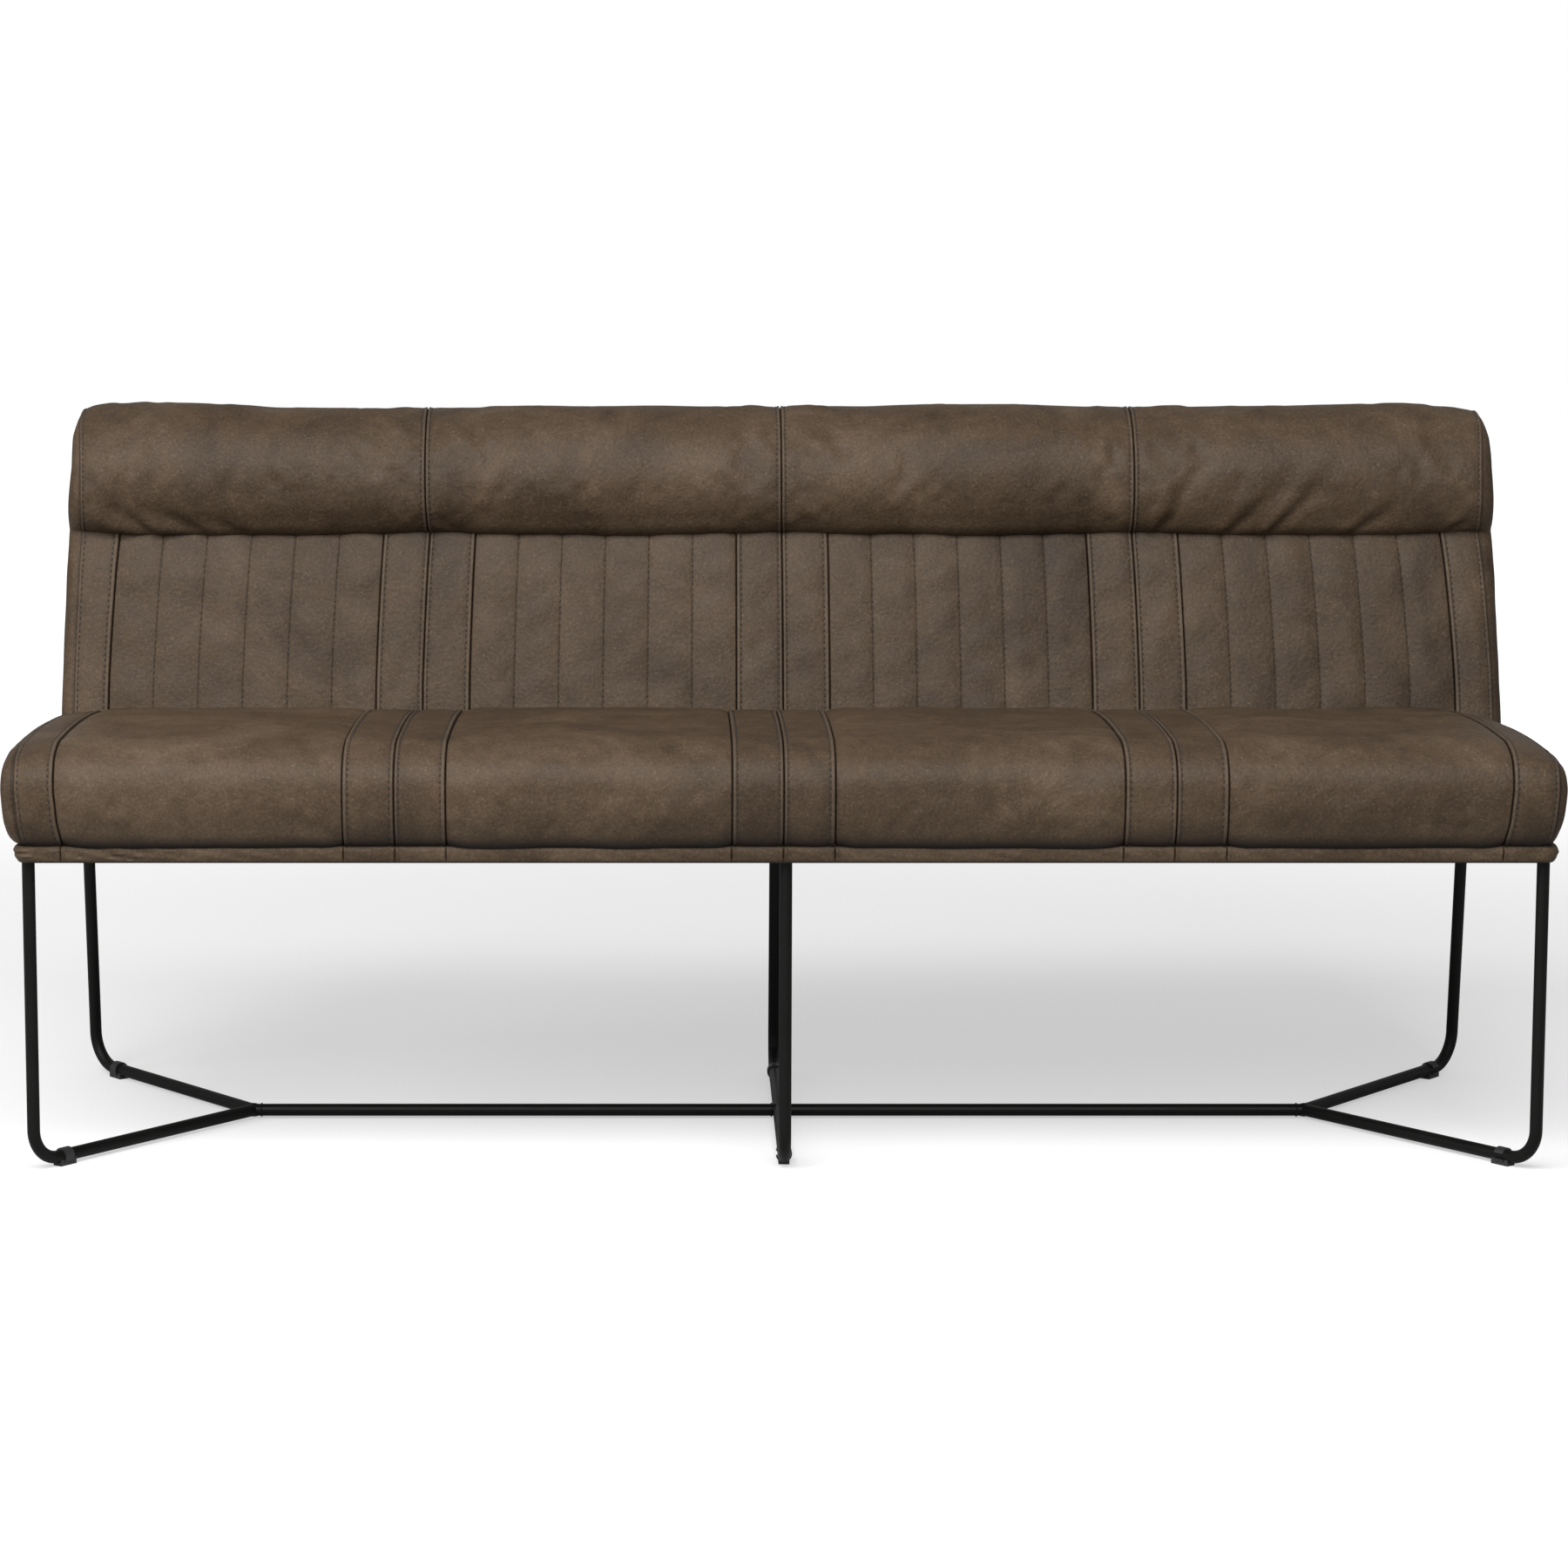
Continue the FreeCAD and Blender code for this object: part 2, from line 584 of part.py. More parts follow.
def back_posts():
    """Six plywood posts that lean with the back and stand over the rear rail, two of them at the middle."""
    body, profile = body_with_sketch("back_post_master", "YZ_Plane")
    draw_polygon(profile, [
        ("knee_y", "rail_bottom"),
        ("rear_rail_front", "rail_bottom"),
        ("rear_rail_front", "rail_top"),
        ("post_rear_foot_y", "rail_top"),
        ("post_rear_top_y", "post_top_z"),
        ("post_top_y", "post_top_z"),
        ("knee_y", "knee_z"),
    ])
    pad(body, profile, "post_thickness")
    doc.recompute()
    copies = [placed(body.Shape, Vector(number(x), 0, 0)) for x in post_places()]
    return Part.makeCompound(copies)


def back_rails():
    """The rail along the posts' tops and the one at the foot of the back foam."""
    top = box("back_top_rail", ("-(timber_x)", "post_rear_top_y - top_rail_depth", "post_top_z"),
              ("timber_x", "post_rear_top_y", "post_top_z + top_rail_height"))
    keep("back_top_rail", top)
    bottom = box("back_bottom_rail", ("-(timber_x)", "knee_y - rail_thickness", "rail_top + bottom_rail_gap"),
                 ("timber_x", "knee_y", "knee_z"))
    keep("back_bottom_rail", bottom)


# Suspension and soft inner pieces


def seat_webbing():
    """Straps from the front rail to the rear rail, three in each bay and clear of the back's posts."""
    width, thick = number("webbing_width"), number("webbing_thickness")
    front, rear = number("timber_front"), number("timber_rear")
    straps = []
    bay = number("module")
    for count in range(12):
        middle = -number("half_width") + bay * (count // 3) + bay * (count % 3 + 1) / 4
        straps.append(Part.makeBox(width, rear - front, thick, Vector(middle - width / 2, front, number("rail_top"))))
    return straps


def back_point(up, behind, x=0.0):
    """A point of the back: up along its front from the seat's top, and behind its foremost surface."""
    slope = math.radians(number("back_recline"))
    y = number("back_foot_y") + up * math.sin(slope) + behind * math.cos(slope)
    z = number("seat_height") + up * math.cos(slope) - behind * math.sin(slope)
    return Vector(x, y, z)


def back_webbing():
    """Four straps along the back, fixed across the front edges of the posts."""
    slope = math.radians(number("back_recline"))
    lean = Rotation(Vector(1, 0, 0), -number("back_recline"))
    half = number("timber_x")
    wide, thick = number("back_strap_width"), number("webbing_thickness")
    depth = number("back_skin + back_pad_depth")
    margin = number("back_strap_margin")
    knee_up = (number("knee_z - seat_height") + depth * math.sin(slope)) / math.cos(slope)
    rise = number("post_top_z - knee_z") / math.cos(slope)
    pitch = (rise - 2 * margin - wide) / 3
    straps = []
    for count in range(4):
        strap = Part.makeBox(2 * half, thick, wide)
        strap.Placement = Placement(back_point(knee_up + margin + count * pitch, depth, -half), lean)
        straps.append(strap)
    return straps


def outline(steps, x=0.0):
    """A closed wire in the plane of a given X. Each step is (y, z) for a line to it, or (y, z, y, z) for an arc
    through the first pair to the second."""
    here = Vector(x, *steps[-1][-2:])
    edges = []
    for step in steps:
        there = Vector(x, *step[-2:])
        if len(step) == 4:
            edges.append(Part.Arc(here, Vector(x, *step[:2]), there).toShape())
        else:
            edges.append(Part.LineSegment(here, there).toShape())
        here = there
    return Part.Wire(edges)


def prism(steps, half):
    """An outline pushed out along X, as far on both sides."""
    return Part.Face(outline(steps, -half)).extrude(Vector(2 * half, 0, 0))


def seat_curve(rise, skin=0.0):
    """Points of the seat's section from the hem over the nose to the rear, raised by the crown and lowered by a skin.

    Each is (y, z), and arcs run hem to nose, nose to top and top to rear through the points between."""
    drop = skin + number("panel_rise") - rise
    front, top = number("front_face"), number("seat_height")
    nose_z = top - number("nose_height")
    diagonal = drop * math.sqrt(0.5)
    nose_mid = number("nose_depth") * (1 - math.sqrt(0.5))
    shoulder_rise = number("nose_height - seat_crown") * math.sqrt(0.5)
    hem = (number("hem_front") + skin, number("hem_top"))
    belly = (front + number("belly_setback") + drop, (number("hem_top") + nose_z) / 2)
    nose = (front + drop, nose_z)
    shoulder = (front + nose_mid + diagonal, nose_z + shoulder_rise - diagonal)
    brow = (front + number("nose_depth"), top - number("seat_crown") - drop)
    middle = (front + number("seat_depth") / 2, top - drop)
    rear = number("back_foot_y - fit_gap") - (number("seat_crown") + drop) * number("slope")
    end = (rear, top - number("seat_crown") - drop)
    return hem, belly, nose, shoulder, brow, middle, end


def seat_foam():
    """Foam cap over the timber: its nose wraps the front rail and its sides wrap the end rails."""
    skin = number("leather_pad + fit_gap")
    hem, belly, nose, shoulder, brow, middle, end = seat_curve(0.0, skin)
    foot_z = number("hem_top")
    toe = (number("back_foot_y - fit_gap") - (number("seat_height") - foot_z) * number("slope"), foot_z)
    whole = prism([hem, (*belly, *nose), (*shoulder, *brow), (*middle, *end), toe], number("seat_edge_x - fit_gap"))
    gap = number("fit_gap")
    half = number("timber_x") + gap
    room = Part.makeBox(2 * half, number("overall_depth"), number("felt_top + fit_gap"),
                        Vector(-half, number("timber_front") - gap, 0))
    return whole.cut(room)


def skin(sections, core):
    """A leather piece: a block ruled through its sections, less the core that it covers."""
    return Part.makeLoft(sections, True, True).cut(core)


def seat_block(curve, x):
    """A closed section whose outside is the seat's curve, deeper than the leather."""
    hem, belly, nose, shoulder, brow, middle, end = curve
    deep = number("nose_depth")
    toe = (end[0] - deep * number("slope"), end[1] - deep)
    return outline([hem, (*belly, *nose), (*shoulder, *brow), (*middle, *end), toe,
                    (hem[0] + deep, toe[1]), (hem[0] + deep, hem[1])], x)


def seat_core(left, right):
    """What the seat's leather covers, as a block between two seams."""
    hem, belly, nose, shoulder, brow, middle, end = seat_curve(0.0, number("leather_pad"))
    past = number("nose_depth")
    section = outline([hem, (*belly, *nose), (*shoulder, *brow), (*middle, *end), (end[0] + past, end[1]),
                       (end[0] + past, hem[1] - past), (hem[0], hem[1] - past)], left)
    return Part.Face(section).extrude(Vector(right - left, 0, 0))


def seat_panel(left, right):
    """A wide leather piece of the seat: it rises from each seam and is level between."""
    ramp = number("rise_width")
    rise = number("panel_rise")
    places = ((left, 0.0), (left + ramp, rise), (right - ramp, rise), (right, 0.0))
    sections = [seat_block(seat_curve(height), x) for x, height in places]
    return skin(sections, seat_core(left, right))


def seat_strip(left, right):
    """A narrow leather piece of the seat."""
    sections = [seat_block(seat_curve(number("strip_rise")), x) for x in (left, right)]
    return skin(sections, seat_core(left, right))


def end_pad(steps, near, far, side, centre, lean, widths):
    """A boxing pad: an outline at the edge seam that draws in towards the bulge, along an axis that leans.

    The widths are rows of a share of the way out, and how much of the outline's depth and height is left there."""
    sections = []
    for share, deep, tall in widths:
        drawn = []
        for step in steps:
            values = []
            for y, z in zip(step[0::2], step[1::2]):
                rise = (z - centre[1]) * tall
                across = y - centre[0] - (z - centre[1]) * lean
                values.append(centre[0] + rise * lean + across * deep)
                values.append(centre[1] + rise)
            drawn.append(tuple(values))
        sections.append(outline(drawn, side * (near + (far - near) * share)))
    return Part.makeLoft(sections, True, True)


def seat_boxing(side):
    """The padded end of the seat."""
    hem, belly, nose, shoulder, brow, middle, end = seat_curve(0.0)
    foot_z = number("hem_top")
    toe = (number("back_foot_y - fit_gap") - (number("seat_height") - foot_z) * number("slope"), foot_z)
    steps = [hem, (*belly, *nose), (*shoulder, *brow), (*middle, *end), toe]
    centre = ((nose[0] + end[0]) / 2, nose[1])
    return end_pad(steps, number("seat_edge_x"), number("half_width"), side, centre, 0.0, SEAT_END_WIDTHS)


def hem_ring():
    """The band round the foot of the seat and the back: a closed strip with rounded corners."""
    def ring(grow, corner):
        low = Vector(-number("hem_x") - grow, number("hem_front") - grow, number("hem_bottom"))
        high = Vector(number("hem_x") + grow, number("hem_rear") + grow, number("hem_top"))
        block = Part.makeBox(high.x - low.x, high.y - low.y, high.z - low.z, low)
        upright = [edge for edge in block.Edges if abs(edge.tangentAt(0).z) > 0.99]
        return block.makeFillet(corner, upright)
    thick = number("hem_thickness")
    return ring(0.0, number("hem_corner")).cut(ring(-thick, number("hem_corner") - thick))


# The back's soft pieces


def crease_pull(up):
    """How far the back's front is drawn in at a height along its slope."""
    over = max(0.0, up - number("crease_up - draw_in_length"))
    return over * number("crease_depth / draw_in_length")


def back_levels():
    """Heights along the back's front at which its soft pieces have a section."""
    return [-number("back_foam_drop"), number("crease_up - draw_in_length"), number("crease_up")]


def level_wire(up, corners):
    """A closed section across the back at one height, from (x, behind) steps with arcs as in outline."""
    pull = crease_pull(up)

    def spot(x, behind):
        return back_point(up, behind + pull, x)

    here = spot(*corners[-1][-2:])
    edges = []
    for step in corners:
        there = spot(*step[-2:])
        if len(step) == 4:
            edges.append(Part.Arc(here, spot(*step[:2]), there).toShape())
        else:
            edges.append(Part.LineSegment(here, there).toShape())
        here = there
    return Part.Wire(edges)


def back_panel(seams, rise):
    """One leather piece of the back, with a shallow channel between each two neighbouring seams."""
    crown = number("panel_rise")
    inner = crown + number("leather_pad")
    sections = []
    for up in back_levels():
        steps = [(seams[0], crown)]
        for left, right in zip(seams, seams[1:]):
            steps.append(((left + right) / 2, crown - rise, right, crown))
        steps.append((seams[-1], inner))
        steps.append((seams[0], inner))
        sections.append(level_wire(up, steps))
    return Part.makeLoft(sections, True, True)


def back_foam():
    """The foam slab of the back, from behind the seat to the crease, notched over the bottom rail."""
    half = number("back_edge_x - fit_gap")
    front = number("back_skin")
    rear = front + number("back_pad_depth")
    sections = []
    for up in back_levels():
        pull = crease_pull(up)
        sections.append(level_wire(up, [(-half, front), (half, front), (half, rear - pull), (-half, rear - pull)]))
    gap = number("fit_gap")
    rail = Vector(-half - gap, number("knee_y - rail_thickness") - gap, number("rail_top"))
    room = Part.makeBox(2 * (half + gap), number("overall_depth"), number("knee_z") + gap - rail.z, rail)
    return Part.makeLoft(sections, True, True).cut(room)


def roll_curve(rise, skin=0.0):
    """Points of the head roll's section: from the crease round the chin to the nose, over a quarter turn to the
    crown, and down to the rear seam. Each is (y, z)."""
    drop = skin + number("panel_rise") - rise
    start = (number("crease_y + crease_depth") + skin, number("crease_z + fit_gap") + skin / 2)
    centre_y, centre_z = number("crown_y"), number("overall_height - roll_radius")
    radius = number("roll_radius") - drop
    diagonal = (radius + drop * SHOULDER_FULLNESS) * math.sqrt(0.5)
    nose = (centre_y - radius, centre_z)
    brow = (centre_y - diagonal, centre_z + diagonal)
    crown = (centre_y, centre_z + radius)
    deep, tall = start[0] - nose[0], nose[1] - start[1]
    chin_radius = (deep * deep + tall * tall) / (2 * deep)
    turn = math.atan2(tall, chin_radius - deep) / 2
    chin = (nose[0] + chin_radius * (1 - math.cos(turn)), nose[1] - chin_radius * math.sin(turn))
    corner = (number("roll_rear_round") - drop * (1 - SHOULDER_FULLNESS)) * math.sqrt(0.5)
    lid = (centre_y + corner, number("rear_seam_z") + corner)
    end = (number("rear_face") - skin, number("rear_seam_z"))
    return start, chin, nose, brow, crown, lid, end


def roll_block(curve, x):
    """A closed section whose outside is the head roll's curve, deeper than the leather."""
    start, chin, nose, brow, crown, lid, end = curve
    deep = number("roll_rear_round")
    return outline([start, (*chin, *nose), (*brow, *crown), (*lid, *end), (end[0] - deep, end[1]),
                    (start[0] + deep, start[1])], x)


def roll_core(left, right):
    """What the head roll's leather covers, as a block between two seams."""
    start, chin, nose, brow, crown, lid, end = roll_curve(0.0, number("leather_pad"))
    low = start[1] - number("roll_rear_round")
    section = outline([start, (*chin, *nose), (*brow, *crown), (*lid, *end), (end[0], low), (start[0], low)], left)
    return Part.Face(section).extrude(Vector(right - left, 0, 0))


def roll_panel(left, right):
    """One leather piece of the head roll, fullest midway between its two seams."""
    places = ((left, 0.0), ((left + right) / 2, number("panel_rise")), (right, 0.0))
    sections = [roll_block(roll_curve(height), x) for x, height in places]
    return skin(sections, roll_core(left, right))


def roll_foam():
    """The head roll's foam, from the crease over the top rail to the rear seam."""
    gap = number("fit_gap")
    start, chin, nose, brow, crown, lid, end = roll_curve(0.0, number("leather_pad + fit_gap"))
    rail_front = number("post_rear_top_y - top_rail_depth") - gap
    rail_top = number("post_top_z + top_rail_height") + gap
    strap = number("back_skin + back_pad_depth")
    foot = back_point(number("crease_up"), strap)
    heel = (end[0] - (end[1] - rail_top) * number("cover_slope"), rail_top)
    steps = [start, (*chin, *nose), (*brow, *crown), (*lid, *end), heel, (rail_front, rail_top)]
    lean = (number("post_top_z") - foot.z) * number("slope")
    steps.append((foot.y + lean, number("post_top_z")))
    steps.append((foot.y, start[1]))
    return prism(steps, number("back_edge_x - fit_gap"))


def back_boxing(side):
    """The padded end of the back, from the hem to the top of the roll."""
    start, chin, nose, brow, crown, lid, end = roll_curve(0.0)
    foot_z = number("hem_top")
    foot = (number("back_foot_y") - (number("seat_height") - foot_z) * number("slope"), foot_z)
    heel = (number("rear_bottom_y"), foot_z)
    bend = back_point(number("crease_up - draw_in_length"), 0)
    steps = [foot, (bend.y, bend.z), start, (*chin, *nose), (*brow, *crown), (*lid, *end), heel]
    centre = ((start[0] + end[0]) / 2, (foot_z + number("overall_height")) / 2)
    lean = number("slope + cover_slope") / 2
    return end_pad(steps, number("back_edge_x"), number("back_bulge_x"), side, centre, lean, BACK_END_WIDTHS)


def rear_cover():
    """The plain leather panel of the rear, from the roll's seam to the hem."""
    top, foot = number("rear_seam_z"), number("hem_top")
    slope, thick = number("cover_slope"), number("rear_cover_thickness / cos(rear_recline * 1deg)")
    rear = number("rear_face")
    low = rear - (top - foot) * slope
    corners = [(rear, top), (low, foot), (low - thick, foot), (rear - thick, top)]
    return prism(corners, number("back_edge_x - fit_gap"))


def build_frame():
    """Bars, glides and leg plates."""
    legs = [leg_bar("front_leg_left", -1, True), leg_bar("front_leg_right", 1, True),
            leg_bar("rear_leg_left", -1, False), leg_bar("rear_leg_right", 1, False)]
    hoop = centre_hoop()
    stretcher("stretcher_left", -1, legs, hoop)
    stretcher("stretcher_right", 1, legs, hoop)
    master = glide_master()
    doc.recompute()
    glides(master)
    leg_plates()


def build_timber():
    """The seat frame, its corner blocks, and the back's posts and rails."""
    seat_timber()
    keep("corner_blocks", feature("corner_blocks", Part.makeCompound(corner_blocks())))
    keep("back_posts", feature("back_posts", back_posts()))
    back_rails()


def build_suspension():
    """Webbing, felt and dust cover."""
    keep("seat_webbing", feature("seat_webbing", Part.makeCompound(seat_webbing())))
    keep("back_webbing", feature("back_webbing", Part.makeCompound(back_webbing())))
    felt = box("seat_felt", ("-(timber_x)", "timber_front", "webbing_top"),
               ("timber_x", "knee_y - rail_thickness - fit_gap", "webbing_top + felt_thickness"))
    keep("seat_felt", felt)
    cloth = box("dust_cover", ("-(timber_x)", "timber_front", "plate_top"),
                ("timber_x", "timber_rear", "rail_bottom"))
    keep("dust_cover", cloth)


def build_seat():
    """Foam, leather pieces and hem band of the seat."""
    keep("seat_foam", feature("seat_foam", seat_foam()))
    module, strip = number("module"), number("strip_width")
    end, edge = number("end_seam_x"), number("seat_edge_x")
    for count in range(4):
        left = -end if count == 0 else (count - 2) * module + strip
        right = end if count == 3 else (count - 1) * module - strip
        node = f"seat_panel_{count + 1}"
        keep(node, feature(node, seat_panel(left, right)))
    strips = []
    for seam in (-module, 0.0, module):
        strips.extend([seat_strip(seam - strip, seam), seat_strip(seam, seam + strip)])
    keep("seat_strips", feature("seat_strips", Part.makeCompound(strips)))
    ends = [seat_strip(-edge, -end), seat_strip(end, edge)]
    keep("seat_end_strips", feature("seat_end_strips", Part.makeCompound(ends)))
    for side, word in ((-1, "left"), (1, "right")):
        node = f"seat_boxing_{word}"
        keep(node, feature(node, seat_boxing(side)))
    keep("hem_band", feature("hem_band", hem_ring()))


def build_back():
    """Foam, leather pieces and covers of the back."""
    keep("back_foam", feature("back_foam", back_foam()))
    keep("roll_foam", feature("roll_foam", roll_foam()))
    module, strip = number("module"), number("strip_width")
    end, edge = number("end_seam_x"), number("back_edge_x")
    rise = number("panel_rise")
    channels = 6
    for count in range(4):
        left = -end if count == 0 else (count - 2) * module + strip
        right = end if count == 3 else (count - 1) * module - strip
        seams = [left + (right - left) * step / channels for step in range(channels + 1)]
        node = f"back_panel_{count + 1}"
        keep(node, feature(node, back_panel(seams, rise)))
    strips = []
    for seam in (-module, 0.0, module):
        strips.extend([back_panel([seam - strip, seam], rise), back_panel([seam, seam + strip], rise)])
    keep("back_strips", feature("back_strips", Part.makeCompound(strips)))
    ends = [back_panel([-edge, -end], rise), back_panel([end, edge], rise)]
    keep("back_end_strips", feature("back_end_strips", Part.makeCompound(ends)))
    seams = [-edge, -module, 0.0, module, edge]
    rolls = [roll_panel(left, right) for left, right in zip(seams, seams[1:])]
    keep("roll_panels", feature("roll_panels", Part.makeCompound(rolls)))
    for side, word in ((-1, "left"), (1, "right")):
        node = f"back_boxing_{word}"
        keep(node, feature(node, back_boxing(side)))
    keep("rear_cover", feature("rear_cover", rear_cover()))


def export():
    """Check every object and write each sub-part."""
    doc.recompute()
    for thing in doc.Objects:
        if "Invalid" in thing.State or "Error" in thing.State:
            raise RuntimeError(f"{thing.Label} failed: {thing.State}")
    os.makedirs("parts", exist_ok=True)
    for node, thing in nodes.items():
        shape = thing.Shape
        if shape.isNull() or not shape.isValid() or not shape.Solids:
            raise RuntimeError(f"{node} has no valid solid")
        shape.exportStep(f"parts/{node}.step")
    whole = Part.makeCompound([thing.Shape for thing in nodes.values()])
    print(len(nodes), "sub-parts in", whole.BoundBox)


build_frame()
build_timber()
build_suspension()
build_seat()
build_back()
export()
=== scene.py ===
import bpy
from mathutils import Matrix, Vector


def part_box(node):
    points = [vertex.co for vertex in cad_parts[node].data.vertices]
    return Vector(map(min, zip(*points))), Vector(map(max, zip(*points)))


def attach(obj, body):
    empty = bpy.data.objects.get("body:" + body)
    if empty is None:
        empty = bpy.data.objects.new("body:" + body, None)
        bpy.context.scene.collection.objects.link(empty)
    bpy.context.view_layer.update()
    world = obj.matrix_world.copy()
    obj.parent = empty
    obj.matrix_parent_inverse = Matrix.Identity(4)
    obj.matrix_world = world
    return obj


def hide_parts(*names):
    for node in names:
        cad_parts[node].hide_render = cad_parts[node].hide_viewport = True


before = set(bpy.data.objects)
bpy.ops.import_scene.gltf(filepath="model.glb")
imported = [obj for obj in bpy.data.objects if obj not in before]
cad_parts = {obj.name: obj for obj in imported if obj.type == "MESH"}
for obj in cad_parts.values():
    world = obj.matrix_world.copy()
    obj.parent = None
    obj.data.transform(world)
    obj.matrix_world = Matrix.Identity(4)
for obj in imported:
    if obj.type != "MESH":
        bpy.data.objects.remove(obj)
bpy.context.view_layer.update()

import logging
import math
from dataclasses import dataclass, field
from enum import Enum

import bmesh
import bpy
import numpy as np
from mathutils import Vector

# Four-place dining bench in waxed leather. Sizes in the classes are millimetres in the CAD model's own frame:
# the front faces -Y, +Z is up and the origin is on the floor under the middle of the bench.

MM = 0.001
Piece = bpy.types.Object
Material = bpy.types.Material
Tree = bpy.types.NodeTree
Socket = bpy.types.NodeSocket
Pair = tuple[float, float]
Triple = tuple[float, float, float]
LOG = logging.getLogger("dining_bench")

# Input and output places of the shader's Mix node when it mixes colours.
MIX_FACTOR = 0
MIX_FIRST = 6
MIX_SECOND = 7
MIX_RESULT = 2
# The wave pattern draws about three bands in one unit of its scale, so with this divisor a twist or a rib
# comes out about twice as coarse as its size in millimetres, to show in the picture.
WAVES = 6


class Slot(Enum):
    """The record's material slot names for the scene's own pieces; the script does not use them."""

    LEATHER = "leather"
    FRAME = "frame"
    FOAM = "foam"
    WEBBING = "webbing"
    FELT = "felt"
    LINING = "lining"


class Seam(Enum):
    """How the leather is finished along one side of a piece."""

    GAP = "the wide panel turns down into the seam"
    LIP = "the narrow strip lies on its seam allowance and is topstitched"
    TWIN = "half of a centre seam: one crisp line with a raised lip and a row of stitches on both sides"
    EDGE = "the seam to the boxing, topstitched"
    CHANNEL = "a single row sewn through the padding"


LEATHER_THICKNESS = 3.0


# Small helpers


def linear(colour: str) -> tuple[float, float, float, float]:
    """Turn an sRGB hex value to a linear colour.

    Args:
        colour: six hex digits.

    Returns:
        Linear red, green, blue and an alpha of 1.
    """
    parts = [int(colour[place:place + 2], 16) / 255 for place in (0, 2, 4)]
    made = [part / 12.92 if part <= 0.04045 else ((part + 0.055) / 1.055) ** 2.4 for part in parts]
    return (made[0], made[1], made[2], 1.0)


def add_node(tree: Tree, kind: str, values: dict, wires: dict) -> bpy.types.Node:
    """Add a node with its settings and links.

    Args:
        tree: the shader or geometry tree.
        kind: the node's type name.
        values: settings by property name, or input values by socket name or number.
        wires: output sockets by the name or number of the input that they feed.

    Returns:
        The new node.
    """
    node = tree.nodes.new(kind)
    for key, value in values.items():
        if isinstance(key, str) and hasattr(node, key):
            setattr(node, key, value)
        else:
            node.inputs[key].default_value = value
    for key, source in wires.items():
        tree.links.new(source, node.inputs[key])
    return node


def per_metre(size_mm: float) -> float:
    """The scale of a noise or cell pattern whose features have that size."""
    return 1.0 / (size_mm * MM)


def new_material(name: str) -> tuple[Material, Tree, Socket]:
    """Start a material.

    Args:
        name: what the finish is.

    Returns:
        The material, its empty node tree and the object coordinates in it.
    """
    made = bpy.data.materials.new(name)
    made.use_nodes = True
    made.node_tree.nodes.clear()
    spot = add_node(made.node_tree, "ShaderNodeTexCoord", {}, {})
    return made, made.node_tree, spot.outputs["Object"]


def close_material(tree: Tree, values: dict, wires: dict) -> bpy.types.Node:
    """End a material with its shader and output.

    Args:
        tree: the material's node tree.
        values: the shader's own values.
        wires: what feeds the shader.

    Returns:
        The shader node.
    """
    shader = add_node(tree, "ShaderNodeBsdfPrincipled", values, wires)
    add_node(tree, "ShaderNodeOutputMaterial", {}, {"Surface": shader.outputs["BSDF"]})
    return shader


def colour_ramp(tree: Tree, source: Socket, stops: list[tuple[float, str]]) -> Socket:
    """Turn a pattern to colours.

    Args:
        tree: the material's node tree.
        source: the pattern.
        stops: places from 0 to 1 with their hex colours.

    Returns:
        The colour.
    """
    ramp = add_node(tree, "ShaderNodeValToRGB", {}, {"Fac": source})
    marks = ramp.color_ramp.elements
    while len(marks) < len(stops):
        marks.new(0.5)
    for mark, (place, colour) in zip(marks, stops):
        mark.position = place
        mark.color = linear(colour)
    return ramp.outputs["Color"]


def noise(tree: Tree, spot: Socket, size_mm: float, detail: float = 2.0,
          roughness: float = 0.5, distortion: float = 0.0) -> Socket:
    """A cloudy pattern.

    Args:
        tree: the material's node tree.
        spot: the coordinates that it lies on.
        size_mm: size of its clouds.
        detail: how many finer layers it has.
        roughness: how strong the finer layers are.
        distortion: how much it swirls.

    Returns:
        Its values.
    """
    settings = {"Scale": per_metre(size_mm), "Detail": detail, "Roughness": roughness,
                "Distortion": distortion}
    return add_node(tree, "ShaderNodeTexNoise", settings, {"Vector": spot}).outputs["Fac"]


def between(tree: Tree, source: Socket, low: float, high: float) -> Socket:
    """Turn a pattern's usual range, 0.3 to 0.7, to a range of a roughness or a brightness.

    Args:
        tree: the material's node tree.
        source: the pattern.
        low: value at 0.3.
        high: value at 0.7.

    Returns:
        The new values.
    """
    settings = {"From Min": 0.3, "From Max": 0.7, "To Min": low, "To Max": high}
    return add_node(tree, "ShaderNodeMapRange", settings, {"Value": source}).outputs[0]


def toward(tree: Tree, share: Socket, colour: Socket, other: str) -> Socket:
    """Mix a colour towards another.

    Args:
        tree: the material's node tree.
        share: how far.
        colour: the colour where the share is 0.
        other: hex colour where the share is 1.

    Returns:
        The mixed colour.
    """
    made = add_node(tree, "ShaderNodeMix", {"data_type": "RGBA", MIX_SECOND: linear(other)},
                    {MIX_FACTOR: share, MIX_FIRST: colour})
    return made.outputs[MIX_RESULT]


def stored(tree: Tree, name: str) -> Socket:
    """What a piece stores at its points under a name."""
    return add_node(tree, "ShaderNodeAttribute", {"attribute_name": name}, {}).outputs["Fac"]


def bump(tree: Tree, height: Socket, strength: float, depth_mm: float) -> Socket:
    """Raise a surface by a pattern.

    Args:
        tree: the material's node tree.
        height: the pattern.
        strength: share of the full effect.
        depth_mm: its real height.

    Returns:
        The bent normal.
    """
    settings = {"Strength": strength, "Distance": depth_mm * MM}
    return add_node(tree, "ShaderNodeBump", settings, {"Height": height}).outputs["Normal"]


# Finishes


